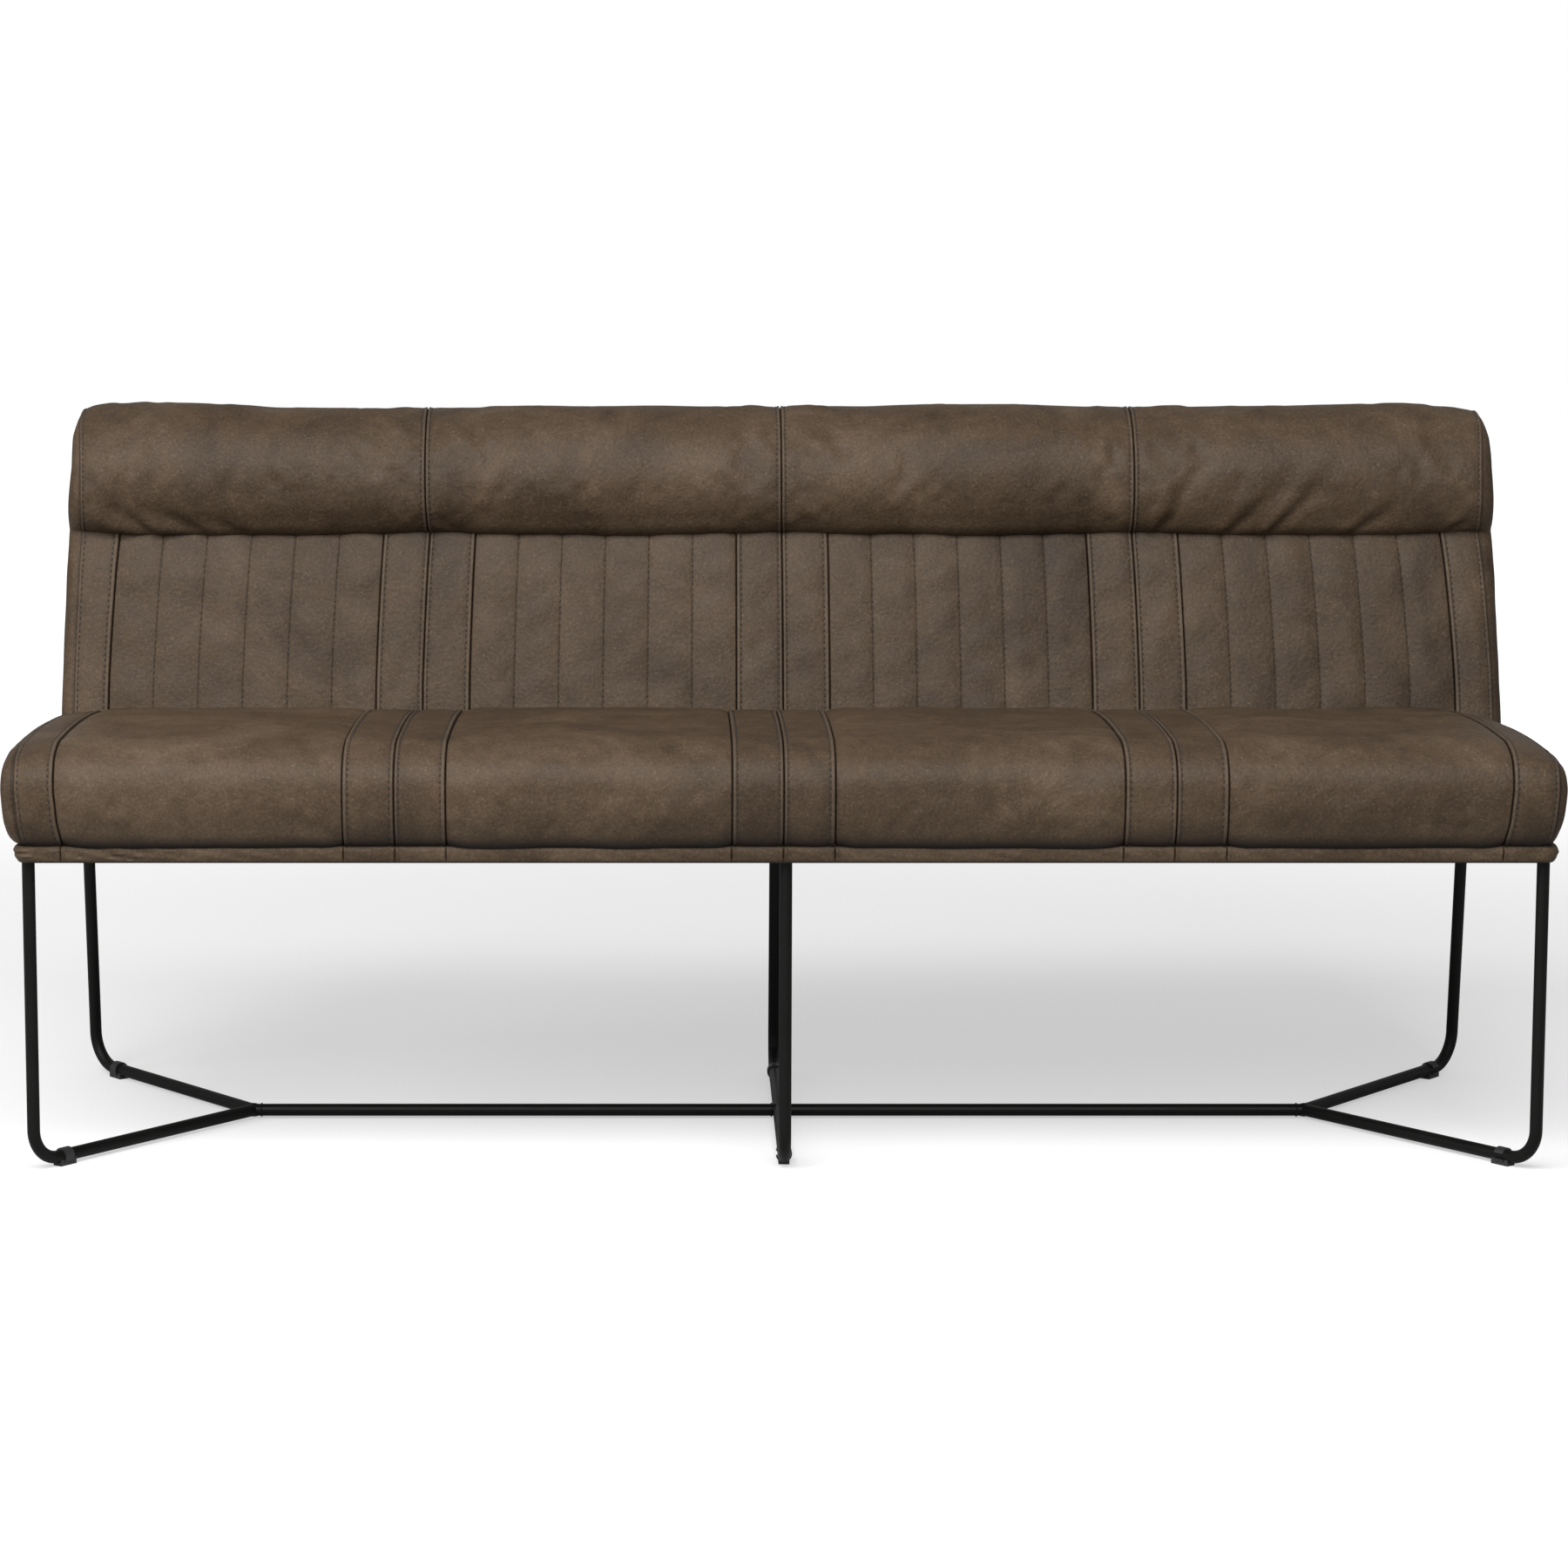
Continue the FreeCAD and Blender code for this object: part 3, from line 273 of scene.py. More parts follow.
@dataclass(frozen=True)
class WaxedLeather:
    """Buffed cowhide with a wax finish, aniline dyed and milled soft.

    The eye sees a warm grey-brown that clouds lighter and darker like a worn saddle and a fine pebbled grain
    with pale flecks. Seams, folds and creases are darkened with painted shade, and proud edges go paler.
    """

    name: str = "waxed_cowhide"
    dark: str = "33281E"
    middle: str = "423528"
    light: str = "504234"
    # Colour of the painted shade in seams, folds and creases.
    line: str = "140F0B"
    fleck_and_highlight: str = "776D61"
    cloud_mm: float = 150.0
    mottle_mm: float = 24.0
    pebble_mm: float = 5.0
    pore_mm: float = 3.2

    def material(self) -> Material:
        """Build the leather.

        Returns:
            The material.
        """
        made, tree, spot = new_material(self.name)
        # Clouds as wide as a hand: the wax lies thicker in places and the dye took unevenly.
        cloud = noise(tree, spot, self.cloud_mm, 7.0, 0.6, 1.1)
        # Thumb-size mottling from buffing.
        mottle = noise(tree, spot, self.mottle_mm, 6.0, 0.72)
        blend = add_node(tree, "ShaderNodeMix", {MIX_FACTOR: 0.34}, {2: cloud, 3: mottle})
        # The tone varies from piece to piece; on the back's padded ends it carries painted light and shade as
        # well.
        shade = add_node(tree, "ShaderNodeMath", {"operation": "ADD"},
                         {0: blend.outputs[0], 1: stored(tree, "tone")})
        stops = [(0.32, self.dark), (0.50, self.middle), (0.68, self.light)]
        base = colour_ramp(tree, shade.outputs[0], stops)
        # Pores and pebbles are about 1 mm on a real hide. They are drawn three to five times as coarse.
        pore = noise(tree, spot, self.pore_mm, 4.0, 0.85)
        grained = add_node(tree, "ShaderNodeVectorMath", {"operation": "SCALE"},
                           {0: base, "Scale": between(tree, pore, 0.64, 1.36)})
        # Pale flecks of rubbed grain tips, with painted glints of the grain in them.
        fleck_and_glint = add_node(tree, "ShaderNodeMapRange", {"From Min": 0.60, "From Max": 0.72, "To Max": 0.45},
                         {"Value": pore})
        with_flecks_and_glints = toward(tree, fleck_and_glint.outputs[0], grained.outputs["Vector"], self.fleck_and_highlight)
        # Raised edges go paler from rubbed wear and a painted highlight; seams, folds and creases get painted
        # shade.
        rubbed = toward(tree, stored(tree, "rub_and_highlight"), with_flecks_and_glints, self.fleck_and_highlight)
        with_painted_shade = toward(tree, stored(tree, "painted_shade"), rubbed, self.line)
        pebble = add_node(tree, "ShaderNodeTexVoronoi",
                          {"feature": "SMOOTH_F1", "Scale": per_metre(self.pebble_mm), "Smoothness": 0.6},
                          {"Vector": spot})
        grain = add_node(tree, "ShaderNodeMath", {"operation": "ADD"},
                         {0: pebble.outputs["Distance"], 1: pore})
        close_material(tree, {"IOR": 1.46, "Specular IOR Level": 0.17},
                       {"Base Color": with_painted_shade, "Roughness": between(tree, mottle, 0.43, 0.57),
                        "Normal": bump(tree, grain.outputs[0], 0.6, 0.8)})
        return made


@dataclass(frozen=True)
class PowderCoat:
    """Fine-texture black powder coat on steel: an even, dull black with a slight orange peel in its shine."""

    name: str = "black_powder_coat"
    base: str = "070706"
    worn: str = "0C0B0A"
    peel_mm: float = 1.4

    def material(self) -> Material:
        """Build the coating.

        Returns:
            The material.
        """
        made, tree, spot = new_material(self.name)
        peel = noise(tree, spot, self.peel_mm)
        haze = noise(tree, spot, 60.0)
        colour = colour_ramp(tree, haze, [(0.35, self.base), (0.75, self.worn)])
        close_material(tree, {"IOR": 1.5, "Specular IOR Level": 0.17},
                       {"Base Color": colour, "Roughness": between(tree, haze, 0.42, 0.52),
                        "Normal": bump(tree, peel, 0.18, 0.12)})
        return made


@dataclass(frozen=True)
class GrainedHardware:
    """A small hard part with a fine even texture, such as a moulded nylon glide or a zinc-plated screw.

    Moulded nylon looks a softer, greyer black than the bars. Zinc plate looks pale with a faint bloom.
    """

    name: str
    low: str
    high: str
    roughness: float
    metallic: float
    grain_mm: float

    def material(self) -> Material:
        """Build the finish.

        Returns:
            The material.
        """
        made, tree, spot = new_material(self.name)
        grain = noise(tree, spot, self.grain_mm, 3.0)
        colour = colour_ramp(tree, grain, [(0.3, self.low), (0.7, self.high)])
        gloss = between(tree, grain, self.roughness - 0.06, self.roughness + 0.06)
        close_material(tree, {"Metallic": self.metallic},
                       {"Base Color": colour, "Roughness": gloss, "Normal": bump(tree, grain, 0.2, 0.05)})
        return made


@dataclass(frozen=True)
class TwistedThread:
    """Bonded polyester thread: a darker brown than the hide, with the twist drawn as fine light and dark
    bands, a painted shade of its plies.
    """

    name: str = "bonded_thread"
    low: str = "090605"
    high: str = "16110D"
    twist_mm: float = 0.9

    def material(self) -> Material:
        """Build the thread.

        Returns:
            The material.
        """
        made, tree, spot = new_material(self.name)
        settings = {"bands_direction": "DIAGONAL", "Scale": per_metre(self.twist_mm) / WAVES,
                    "Distortion": 1.0}
        twist = add_node(tree, "ShaderNodeTexWave", settings, {"Vector": spot})
        colour = colour_ramp(tree, twist.outputs["Fac"], [(0.2, self.low), (0.8, self.high)])
        close_material(tree, {"Roughness": 0.62},
                       {"Base Color": colour, "Normal": bump(tree, twist.outputs["Fac"], 0.3, 0.1)})
        return made


@dataclass(frozen=True)
class OpenCellFoam:
    """Polyurethane foam: cream, yellowing in patches, with open cells."""

    name: str = "open_cell_foam"
    low: str = "C9BC8E"
    high: str = "E4DBB6"
    cell_mm: float = 1.5

    def material(self) -> Material:
        """Build the foam.

        Returns:
            The material.
        """
        made, tree, spot = new_material(self.name)
        cells = add_node(tree, "ShaderNodeTexVoronoi", {"Scale": per_metre(self.cell_mm)}, {"Vector": spot})
        colour = colour_ramp(tree, noise(tree, spot, 90.0, 3.0), [(0.3, self.low), (0.7, self.high)])
        close_material(tree, {"Roughness": 0.95},
                       {"Base Color": colour, "Normal": bump(tree, cells.outputs["Distance"], 0.5, 0.6)})
        return made


@dataclass(frozen=True)
class PlanedTimber:
    """Planed beech and birch plywood: pale straw with long close grain and short dark flecks."""

    name: str = "planed_beech"
    low: str = "B58F64"
    high: str = "D8B88A"
    grain_mm: float = 5.0

    def material(self) -> Material:
        """Build the timber.

        Returns:
            The material.
        """
        made, tree, spot = new_material(self.name)
        drawn = add_node(tree, "ShaderNodeMapping", {"Scale": (0.06, 1.0, 1.0)}, {"Vector": spot})
        grain = noise(tree, drawn.outputs["Vector"], self.grain_mm, 5.0, distortion=0.4)
        colour = colour_ramp(tree, grain, [(0.3, self.low), (0.65, self.high)])
        close_material(tree, {"Roughness": 0.6},
                       {"Base Color": colour, "Normal": bump(tree, grain, 0.2, 0.15)})
        return made


@dataclass(frozen=True)
class HiddenCloth:
    """A technical cloth under the leather: woven webbing, needled felt or spunbonded lining.

    Webbing shows close ribs, felt a soft fuzz, and spunbond a dull black with a fine stippled press mark.
    """

    name: str
    low: str
    high: str
    rib_mm: float
    fuzz_mm: float
    ribs: float

    def material(self) -> Material:
        """Build the cloth.

        Returns:
            The material.
        """
        made, tree, spot = new_material(self.name)
        rib = add_node(tree, "ShaderNodeTexWave",
                       {"Scale": per_metre(self.rib_mm) / WAVES, "Distortion": 0.5}, {"Vector": spot})
        both = add_node(tree, "ShaderNodeMix", {MIX_FACTOR: self.ribs},
                        {2: noise(tree, spot, self.fuzz_mm, 4.0), 3: rib.outputs["Fac"]})
        colour = colour_ramp(tree, both.outputs[0], [(0.25, self.low), (0.75, self.high)])
        close_material(tree, {"Roughness": 0.9},
                       {"Base Color": colour, "Normal": bump(tree, both.outputs[0], 0.4, 0.3)})
        return made


@dataclass(frozen=True)
class StudioPaper:
    """Seamless white studio paper, barely toothed, so the bench stands on a clean pale ground.

    It glows for the camera alone, more towards its far side, so that it runs into the white wall with no line
    between: a painted glow that also lifts the shadows on it.
    """

    name: str = "studio_paper"
    low: str = "B4B4B4"
    high: str = "BABABA"
    near: float = 1.6
    far: float = 4.5
    under_glow: float = 0.46

    def material(self) -> Material:
        """Build the paper.

        Returns:
            The material.
        """
        made, tree, spot = new_material(self.name)
        colour = colour_ramp(tree, noise(tree, spot, 3.0), [(0.3, self.low), (0.7, self.high)])
        away = add_node(tree, "ShaderNodeVectorMath", {"operation": "LENGTH"}, {0: spot})
        glow = add_node(tree, "ShaderNodeMapRange",
                        {"interpolation_type": "SMOOTHSTEP", "From Min": self.near, "From Max": self.far,
                         "To Min": self.under_glow, "To Max": 1.0}, {"Value": away.outputs["Value"]})
        # Painted glow, seen only by the camera: the paper looks white and its shadows look paler than the
        # light that it throws back.
        ray = add_node(tree, "ShaderNodeLightPath", {}, {})
        seen = add_node(tree, "ShaderNodeMath", {"operation": "MULTIPLY"},
                        {0: glow.outputs[0], 1: ray.outputs["Is Camera Ray"]})
        white = (1.0, 1.0, 1.0, 1.0)
        close_material(tree, {"Roughness": 0.95, "Specular IOR Level": 0.1, "Emission Color": white},
                       {"Base Color": colour, "Emission Strength": seen.outputs[0]})
        return made


# Sections


def arc(start: Pair, through: Pair, end: Pair, step: float = 0.5) -> np.ndarray:
    """Sample the arc through three points.

    Args:
        start: its first point.
        through: a point on it.
        end: its last point.
        step: spacing of the samples.

    Returns:
        Points along the arc, with both ends.
    """
    first, middle, last = (np.array(point, float) for point in (start, through, end))
    one, two = middle - first, last - first
    cross = 2 * (one[0] * two[1] - one[1] * two[0])
    offset = np.array([two[1] * (one @ one) - one[1] * (two @ two),
                       one[0] * (two @ two) - two[0] * (one @ one)])
    centre = first + offset / cross
    radius = float(np.hypot(*(first - centre)))
    begin = math.atan2(*(first - centre)[::-1])
    finish = math.atan2(*(last - centre)[::-1])
    sweep = (finish - begin) % (2 * math.pi)
    if cross < 0:
        sweep -= 2 * math.pi
    count = max(4, int(abs(sweep) * radius / step))
    angles = begin + np.linspace(0, sweep, count)
    return centre + radius * np.column_stack([np.cos(angles), np.sin(angles)])


class Profile:
    """A section across the bench in (y, z), walked by its length, with its outside on the walk's left."""

    def __init__(self, *parts: np.ndarray) -> None:
        """Join the parts and work out lengths and outward directions.

        Args:
            parts: arrays of (y, z) points, each starting where the last ended.
        """
        points = np.vstack(parts)
        gaps = np.hypot(*np.diff(points, axis=0).T)
        points = points[np.append(True, gaps > 1e-4)]
        gaps = np.hypot(*np.diff(points, axis=0).T)
        self.points = points
        self.along = np.append(0.0, np.cumsum(gaps))
        self.length = float(self.along[-1])
        even = np.linspace(0, self.length, int(self.length))
        line = np.column_stack([np.interp(even, self.along, points[:, axis]) for axis in (0, 1)])
        slope = np.gradient(line, axis=0)
        soft = np.ones(5) / 5
        padded = np.pad(slope, ((2, 2), (0, 0)), mode="edge")
        slope = np.column_stack([np.convolve(padded[:, axis], soft, mode="valid") for axis in (0, 1)])
        slope /= np.hypot(slope[:, 0], slope[:, 1])[:, None]
        self.even = even
        self.outward = np.column_stack([-slope[:, 1], slope[:, 0]])

    def place(self, along: np.ndarray) -> tuple[np.ndarray, np.ndarray]:
        """Points and outward directions at lengths along the section.

        Args:
            along: lengths from its start.

        Returns:
            (y, z) points and outward directions.
        """
        spot = np.column_stack([np.interp(along, self.along, self.points[:, axis]) for axis in (0, 1)])
        way = np.column_stack([np.interp(along, self.even, self.outward[:, axis]) for axis in (0, 1)])
        way /= np.hypot(way[:, 0], way[:, 1])[:, None]
        return spot, way


def dip(distance: np.ndarray, middle: float, width: float) -> np.ndarray:
    """A smooth bell, 1 at its middle."""
    return np.exp(-(((distance - middle) / width) ** 2))


def step_up(distance: np.ndarray, place: float, softness: float) -> np.ndarray:
    """A smooth rise from 0 to 1 at a place."""
    return 0.5 + 0.5 * np.tanh((distance - place) / softness)


@dataclass(frozen=True)
class SeamForm:
    """The leather beside a seam: a sunk line with painted shade in it and, if topstitched, a raised lip and a
    pressed row.
    """

    sunk: float
    sunk_width: float
    # How strong the painted shade along the seam line is, and over what width (dark_width).
    dark: float
    lip: float = 0.0
    lip_start: Pair = (0.0, 1.0)
    lip_end: Pair = (0.0, 1.0)
    row: float = 0.0
    pressed: float = 0.4
    row_width: float = 0.9
    dark_width: float = 0.8

    def relief(self, away: np.ndarray) -> np.ndarray:
        """Height over what the padding gives, at distances from the seam.

        Args:
            away: the distances.

        Returns:
            Heights in millimetres.
        """
        line = -self.sunk * dip(away, 0.0, self.sunk_width)
        lip = step_up(away, *self.lip_start) * (1 - step_up(away, *self.lip_end))
        return line + self.lip * lip - self.pressed * bool(self.row) * dip(away, self.row, self.row_width)

    def shade(self, away: np.ndarray) -> np.ndarray:
        """How dark the painted shade in the fold is there, from 0 to 1."""
        return self.dark * dip(away, 0.0, self.dark_width)


# A lip starts and ends at a distance from its seam, each with its softness, and the row is how far off the
# stitches lie.
FORMS = {
    Seam.GAP: SeamForm(2.2, 0.9, 0.92),
    Seam.LIP: SeamForm(1.9, 0.6, 0.92, lip=1.7, lip_start=(0.8, 0.5), lip_end=(4.6, 0.9), row=6.2),
    Seam.TWIN: SeamForm(1.8, 0.6, 0.92, lip=1.3, lip_start=(0.9, 0.5), lip_end=(4.1, 0.7), row=5.3),
    Seam.EDGE: SeamForm(1.0, 0.8, 0.5, lip=0.8, lip_start=(0.9, 0.4), lip_end=(3.6, 0.6), row=4.6),
    Seam.CHANNEL: SeamForm(0.5, 0.9, 0.12),
}

# Distances from a seam at which the leather's grid has points.
BY_SEAM = np.array([0, 0.4, 0.8, 1.2, 1.6, 2.0, 2.5, 3.1, 3.8, 4.4, 5.0, 5.6, 6.2, 7.0, 8.4, 10.5, 13.5])


def stations(left: float, right: float, pitch: float) -> np.ndarray:
    """Places across a piece, close together by its seams and even between.

    Args:
        left: first place.
        right: last place.
        pitch: spacing away from the seams.

    Returns:
        The places in order.
    """
    inner_left, inner_right = left + BY_SEAM[-1], right - BY_SEAM[-1]
    count = max(2, int(round((inner_right - inner_left) / pitch)) + 1)
    middle = np.linspace(inner_left, inner_right, count)
    return np.unique(np.round(np.concatenate([left + BY_SEAM, middle, right - BY_SEAM]), 4))


def ripple(across: np.ndarray, along: np.ndarray, wave: float, seed: int) -> np.ndarray:
    """Soft unevenness of stuffed leather: a seeded sum of waves in many directions.

    Args:
        across: places across the piece.
        along: places along it.
        wave: the usual wavelength.
        seed: fixes the pattern.

    Returns:
        Values around 0, mostly within 1.
    """
    dice = np.random.default_rng(seed)
    total = np.zeros(np.broadcast(across, along).shape)
    for _ in range(9):
        turn = dice.uniform(0, 2 * math.pi)
        size = wave * dice.uniform(0.6, 1.6)
        phase = dice.uniform(0, 2 * math.pi)
        total += np.cos((across * math.cos(turn) + along * math.sin(turn)) * 2 * math.pi / size + phase)
    return total / 3.0


@dataclass(frozen=True)
class Crease:
    """A fold pulled into the leather along a line on a piece, with a soft ridge on its upper side."""

    start: Pair
    end: Pair
    width: float
    depth: float

    def lift(self, across: np.ndarray, along: np.ndarray) -> np.ndarray:
        """Height that the fold adds.

        Args:
            across: places across the piece.
            along: places along it.

        Returns:
            Heights in millimetres.
        """
        run = np.array(self.end) - np.array(self.start)
        long = float(np.hypot(*run))
        run = run / long
        ahead = (across - self.start[0]) * run[0] + (along - self.start[1]) * run[1]
        beside = -(across - self.start[0]) * run[1] + (along - self.start[1]) * run[0]
        share = np.clip(ahead / long, -0.2, 1.3)
        wide = self.width * (0.7 + 0.9 * np.clip(share, 0, 1))
        fade = step_up(share, 0.0, 0.08) * (1 - step_up(share, 0.85, 0.25))
        valley = np.exp(-((beside / wide) ** 2))
        ridge = np.exp(-(((beside - 1.6 * wide) / (1.2 * wide)) ** 2))
        return self.depth * fade * (0.7 * ridge - valley)


# Meshes


@dataclass
class Shell:
    """One closed leather shell: its outer grid, the two inner edges and what the finish reads from it."""

    outer: np.ndarray
    inner: np.ndarray
    painted_shade: np.ndarray
    rub_and_highlight: np.ndarray
    tone: float


def quads(grid: np.ndarray) -> np.ndarray:
    """The four-cornered faces of a grid of point indices."""
    return np.stack([grid[:-1, :-1], grid[1:, :-1], grid[1:, 1:], grid[:-1, 1:]], axis=-1).reshape(-1, 4)


def walls(lower: np.ndarray, upper: np.ndarray) -> np.ndarray:
    """The faces between two closed loops of point indices."""
    return np.column_stack([lower, np.roll(lower, -1), np.roll(upper, -1), upper])


# Turns four-cornered faces over.
TURNED = [0, 3, 2, 1]


def face_lists(*blocks: np.ndarray) -> list[list[int]]:
    """The faces of several blocks as plain lists."""
    return [face for block in blocks for face in block.tolist()]


def shell_faces(wide: int, long: int, start: int) -> list[list[int]]:
    """Faces of one closed shell: a grid, its flat inner side, two side walls and two ends.

    Args:
        wide: points across the grid.
        long: points along it.
        start: index of the shell's first point.

    Returns:
        Lists of point indices, all facing outwards.
    """
    grid = start + np.arange(wide * long).reshape(wide, long)
    left = start + wide * long + np.arange(long)
    right = left + long
    under = np.column_stack([left[:-1], left[1:], right[1:], right[:-1]])
    near = np.column_stack([grid[0, :-1], grid[0, 1:], left[1:], left[:-1]])
    far = np.column_stack([grid[-1, :-1], right[:-1], right[1:], grid[-1, 1:]])
    faces = face_lists(quads(grid), under, near, far)
    faces.append(grid[::-1, 0].tolist() + [int(left[0]), int(right[0])])
    faces.append(grid[:, -1].tolist() + [int(right[-1]), int(left[-1])])
    return faces


def add_object(name: str, mesh: bpy.types.Mesh) -> Piece:
    """Put a mesh in the scene as an object at the origin.

    Args:
        name: the object's name.
        mesh: its mesh.

    Returns:
        The object.
    """
    made = bpy.data.objects.new(name, mesh)
    bpy.context.scene.collection.objects.link(made)
    return made


def mesh_object(name: str, points: np.ndarray, faces: list[list[int]], smooth: bool = True) -> Piece:
    """Make an object from points in metres and faces.

    Args:
        name: the piece's name.
        points: (n, 3) array.
        faces: lists of point indices.
        smooth: whether it is shaded smooth, with corners over 50 degrees kept sharp.

    Returns:
        The object.
    """
    mesh = bpy.data.meshes.new(name)
    mesh.from_pydata(points.tolist(), [], faces)
    mesh.update()
    if smooth:
        mesh.shade_smooth()
        mesh.set_sharp_from_angle(angle=math.radians(50))
    return add_object(name, mesh)


def add_marks(piece: Piece, marks: dict[str, np.ndarray]) -> None:
    """Store what the finish reads at each point of a piece.

    Args:
        piece: the piece.
        marks: values by the names that the finish reads.
    """
    for name, values in marks.items():
        layer = piece.data.attributes.new(name, "FLOAT", "POINT")
        layer.data.foreach_set("value", np.asarray(values, np.float32))


def mark_plain(piece: Piece, painted_shade: np.ndarray, tone: float) -> None:
    """Store painted shade and one tone on a piece, with no paler rubbed and highlighted edges."""
    add_marks(piece, {"painted_shade": painted_shade, "rub_and_highlight": np.zeros(len(painted_shade)), "tone": np.full(len(painted_shade), tone)})


def face_outwards(piece: Piece) -> None:
    """Turn every face of a closed piece outwards.

    Args:
        piece: the piece.
    """
    edit = bmesh.new()
    edit.from_mesh(piece.data)
    bmesh.ops.recalc_face_normals(edit, faces=edit.faces)
    edit.to_mesh(piece.data)
    edit.free()


def apply_modifiers(piece: Piece) -> bpy.types.Mesh:
    """Keep what a piece's modifiers make as its plain mesh.

    Args:
        piece: the piece.

    Returns:
        Its new mesh.
    """
    graph = bpy.context.evaluated_depsgraph_get()
    plain = bpy.data.meshes.new_from_object(piece.evaluated_get(graph))
    piece.modifiers.clear()
    piece.data = plain
    return plain


def leather_object(name: str, shells: list[Shell]) -> Piece:
    """Join shells in one piece.

    Args:
        name: the piece's name.
        shells: the closed shells.

    Returns:
        The object with its marks.
    """
    points, faces = [], []
    marks: dict[str, list[np.ndarray]] = {"painted_shade": [], "rub_and_highlight": [], "tone": []}
    start = 0
    for shell in shells:
        wide, long = shell.outer.shape[:2]
        points.extend([shell.outer.reshape(-1, 3), shell.inner.reshape(-1, 3)])
        faces.extend(shell_faces(wide, long, start))
        count = wide * long + 2 * long
        blank = np.zeros(2 * long)
        marks["painted_shade"].append(np.concatenate([shell.painted_shade.ravel(), blank]))
        marks["rub_and_highlight"].append(np.concatenate([shell.rub_and_highlight.ravel(), blank]))
        marks["tone"].append(np.full(count, shell.tone))
        start += count
    piece = mesh_object(name, np.vstack(points), faces)
    add_marks(piece, {key: np.concatenate(parts) for key, parts in marks.items()})
    return piece


def spread(profile: Profile, across: np.ndarray, along: np.ndarray, lift: np.ndarray) -> np.ndarray:
    """Lay a grid over a section.

    Args:
        profile: the section at seam level.
        across: x of each grid point.
        along: length along the section of each column of points.
        lift: height of each grid point over seam level.

    Returns:
        (wide, long, 3) points in metres.
    """
    spot, way = profile.place(along)
    flat = spot[None, :, :] + lift[:, :, None] * way[None, :, :]
    return np.dstack([across, flat[:, :, 0], flat[:, :, 1]]) * MM


@dataclass(frozen=True)
class Panel:
    """One leather piece of a cover: where it lies across the bench, how it is sewn and how full it is."""

    left: float
    right: float
    left_seam: Seam
    right_seam: Seam
    rise: float
    ramp: float
    tone: float = 0.0
    channels: int = 1
    seed: int = 1

    def seams(self) -> np.ndarray:
        """Places of the seams and channel lines across the piece."""
        return np.linspace(self.left, self.right, self.channels + 1)

    def from_lines(self, across: np.ndarray) -> np.ndarray:
        """Distances of places from the nearest seam or channel line."""
        return np.min(np.abs(across[:, None] - self.seams()[None, :]), axis=1)

    def grid(self, pitch: float) -> np.ndarray:
        """Places of the grid's points across the piece."""
        parts = [stations(low, high, pitch) for low, high in zip(self.seams(), self.seams()[1:])]
        return np.unique(np.concatenate(parts))

    def near_seams(self, across: np.ndarray) -> list[tuple[SeamForm, np.ndarray]]:
        """The form of each seam and channel line, with how far from it places are.

        Args:
            across: places across the piece.

        Returns:
            Forms with distances.
        """
        sides = [(FORMS[self.left_seam], across - self.left), (FORMS[self.right_seam], self.right - across)]
        return sides + [(FORMS[Seam.CHANNEL], np.abs(across - line)) for line in self.seams()[1:-1]]

    def relief(self, across: np.ndarray) -> np.ndarray:
        """Height beside the seams only, at places across the piece."""
        return sum(form.relief(away) for form, away in self.near_seams(across))

    def shade(self, across: np.ndarray) -> np.ndarray:
        """Painted shade beside the seams, at places across the piece."""
        return sum(form.shade(away) for form, away in self.near_seams(across))

    def puff(self, across: np.ndarray) -> np.ndarray:
        """Height that the padding gives, from 0 at each line to the rise between them."""
        share = np.clip(self.from_lines(across) / self.ramp, 0, 1)
        return self.rise * (1 - (1 - share) ** 2.3)


def blend_weights(places: np.ndarray, start: float, step: float, count: int) -> np.ndarray:
    """Weights that read a coarse row of values smoothly at other places, by cubic convolution.

    Args:
        places: where to read.
        start: place of the first value.
        step: spacing of the values.
        count: how many values there are.

    Returns:
        One row of weights for each place.
    """
    gap = np.abs((places - start)[:, None] / step - np.arange(count)[None, :])
    near = 1.5 * gap ** 3 - 2.5 * gap ** 2 + 1
    far = -0.5 * gap ** 3 + 2.5 * gap ** 2 - 4 * gap + 2
    return np.where(gap < 1, near, np.where(gap < 2, far, 0.0))


@dataclass(frozen=True)
class Settled:
    """How far simulated leather stands off its seams, on a coarse grid."""

    left: float
    step_across: float
    step_along: float
    height: np.ndarray

    def read(self, across: np.ndarray, along: np.ndarray) -> np.ndarray:
        """Heights at other places.

        Args:
            across: places across the piece.
            along: places along it.

        Returns:
            (wide, long) heights in millimetres.
        """
        wide, long = self.height.shape
        one = blend_weights(across, self.left, self.step_across, wide)
        two = blend_weights(along, 0.0, self.step_along, long)
        return one @ self.height @ two.T


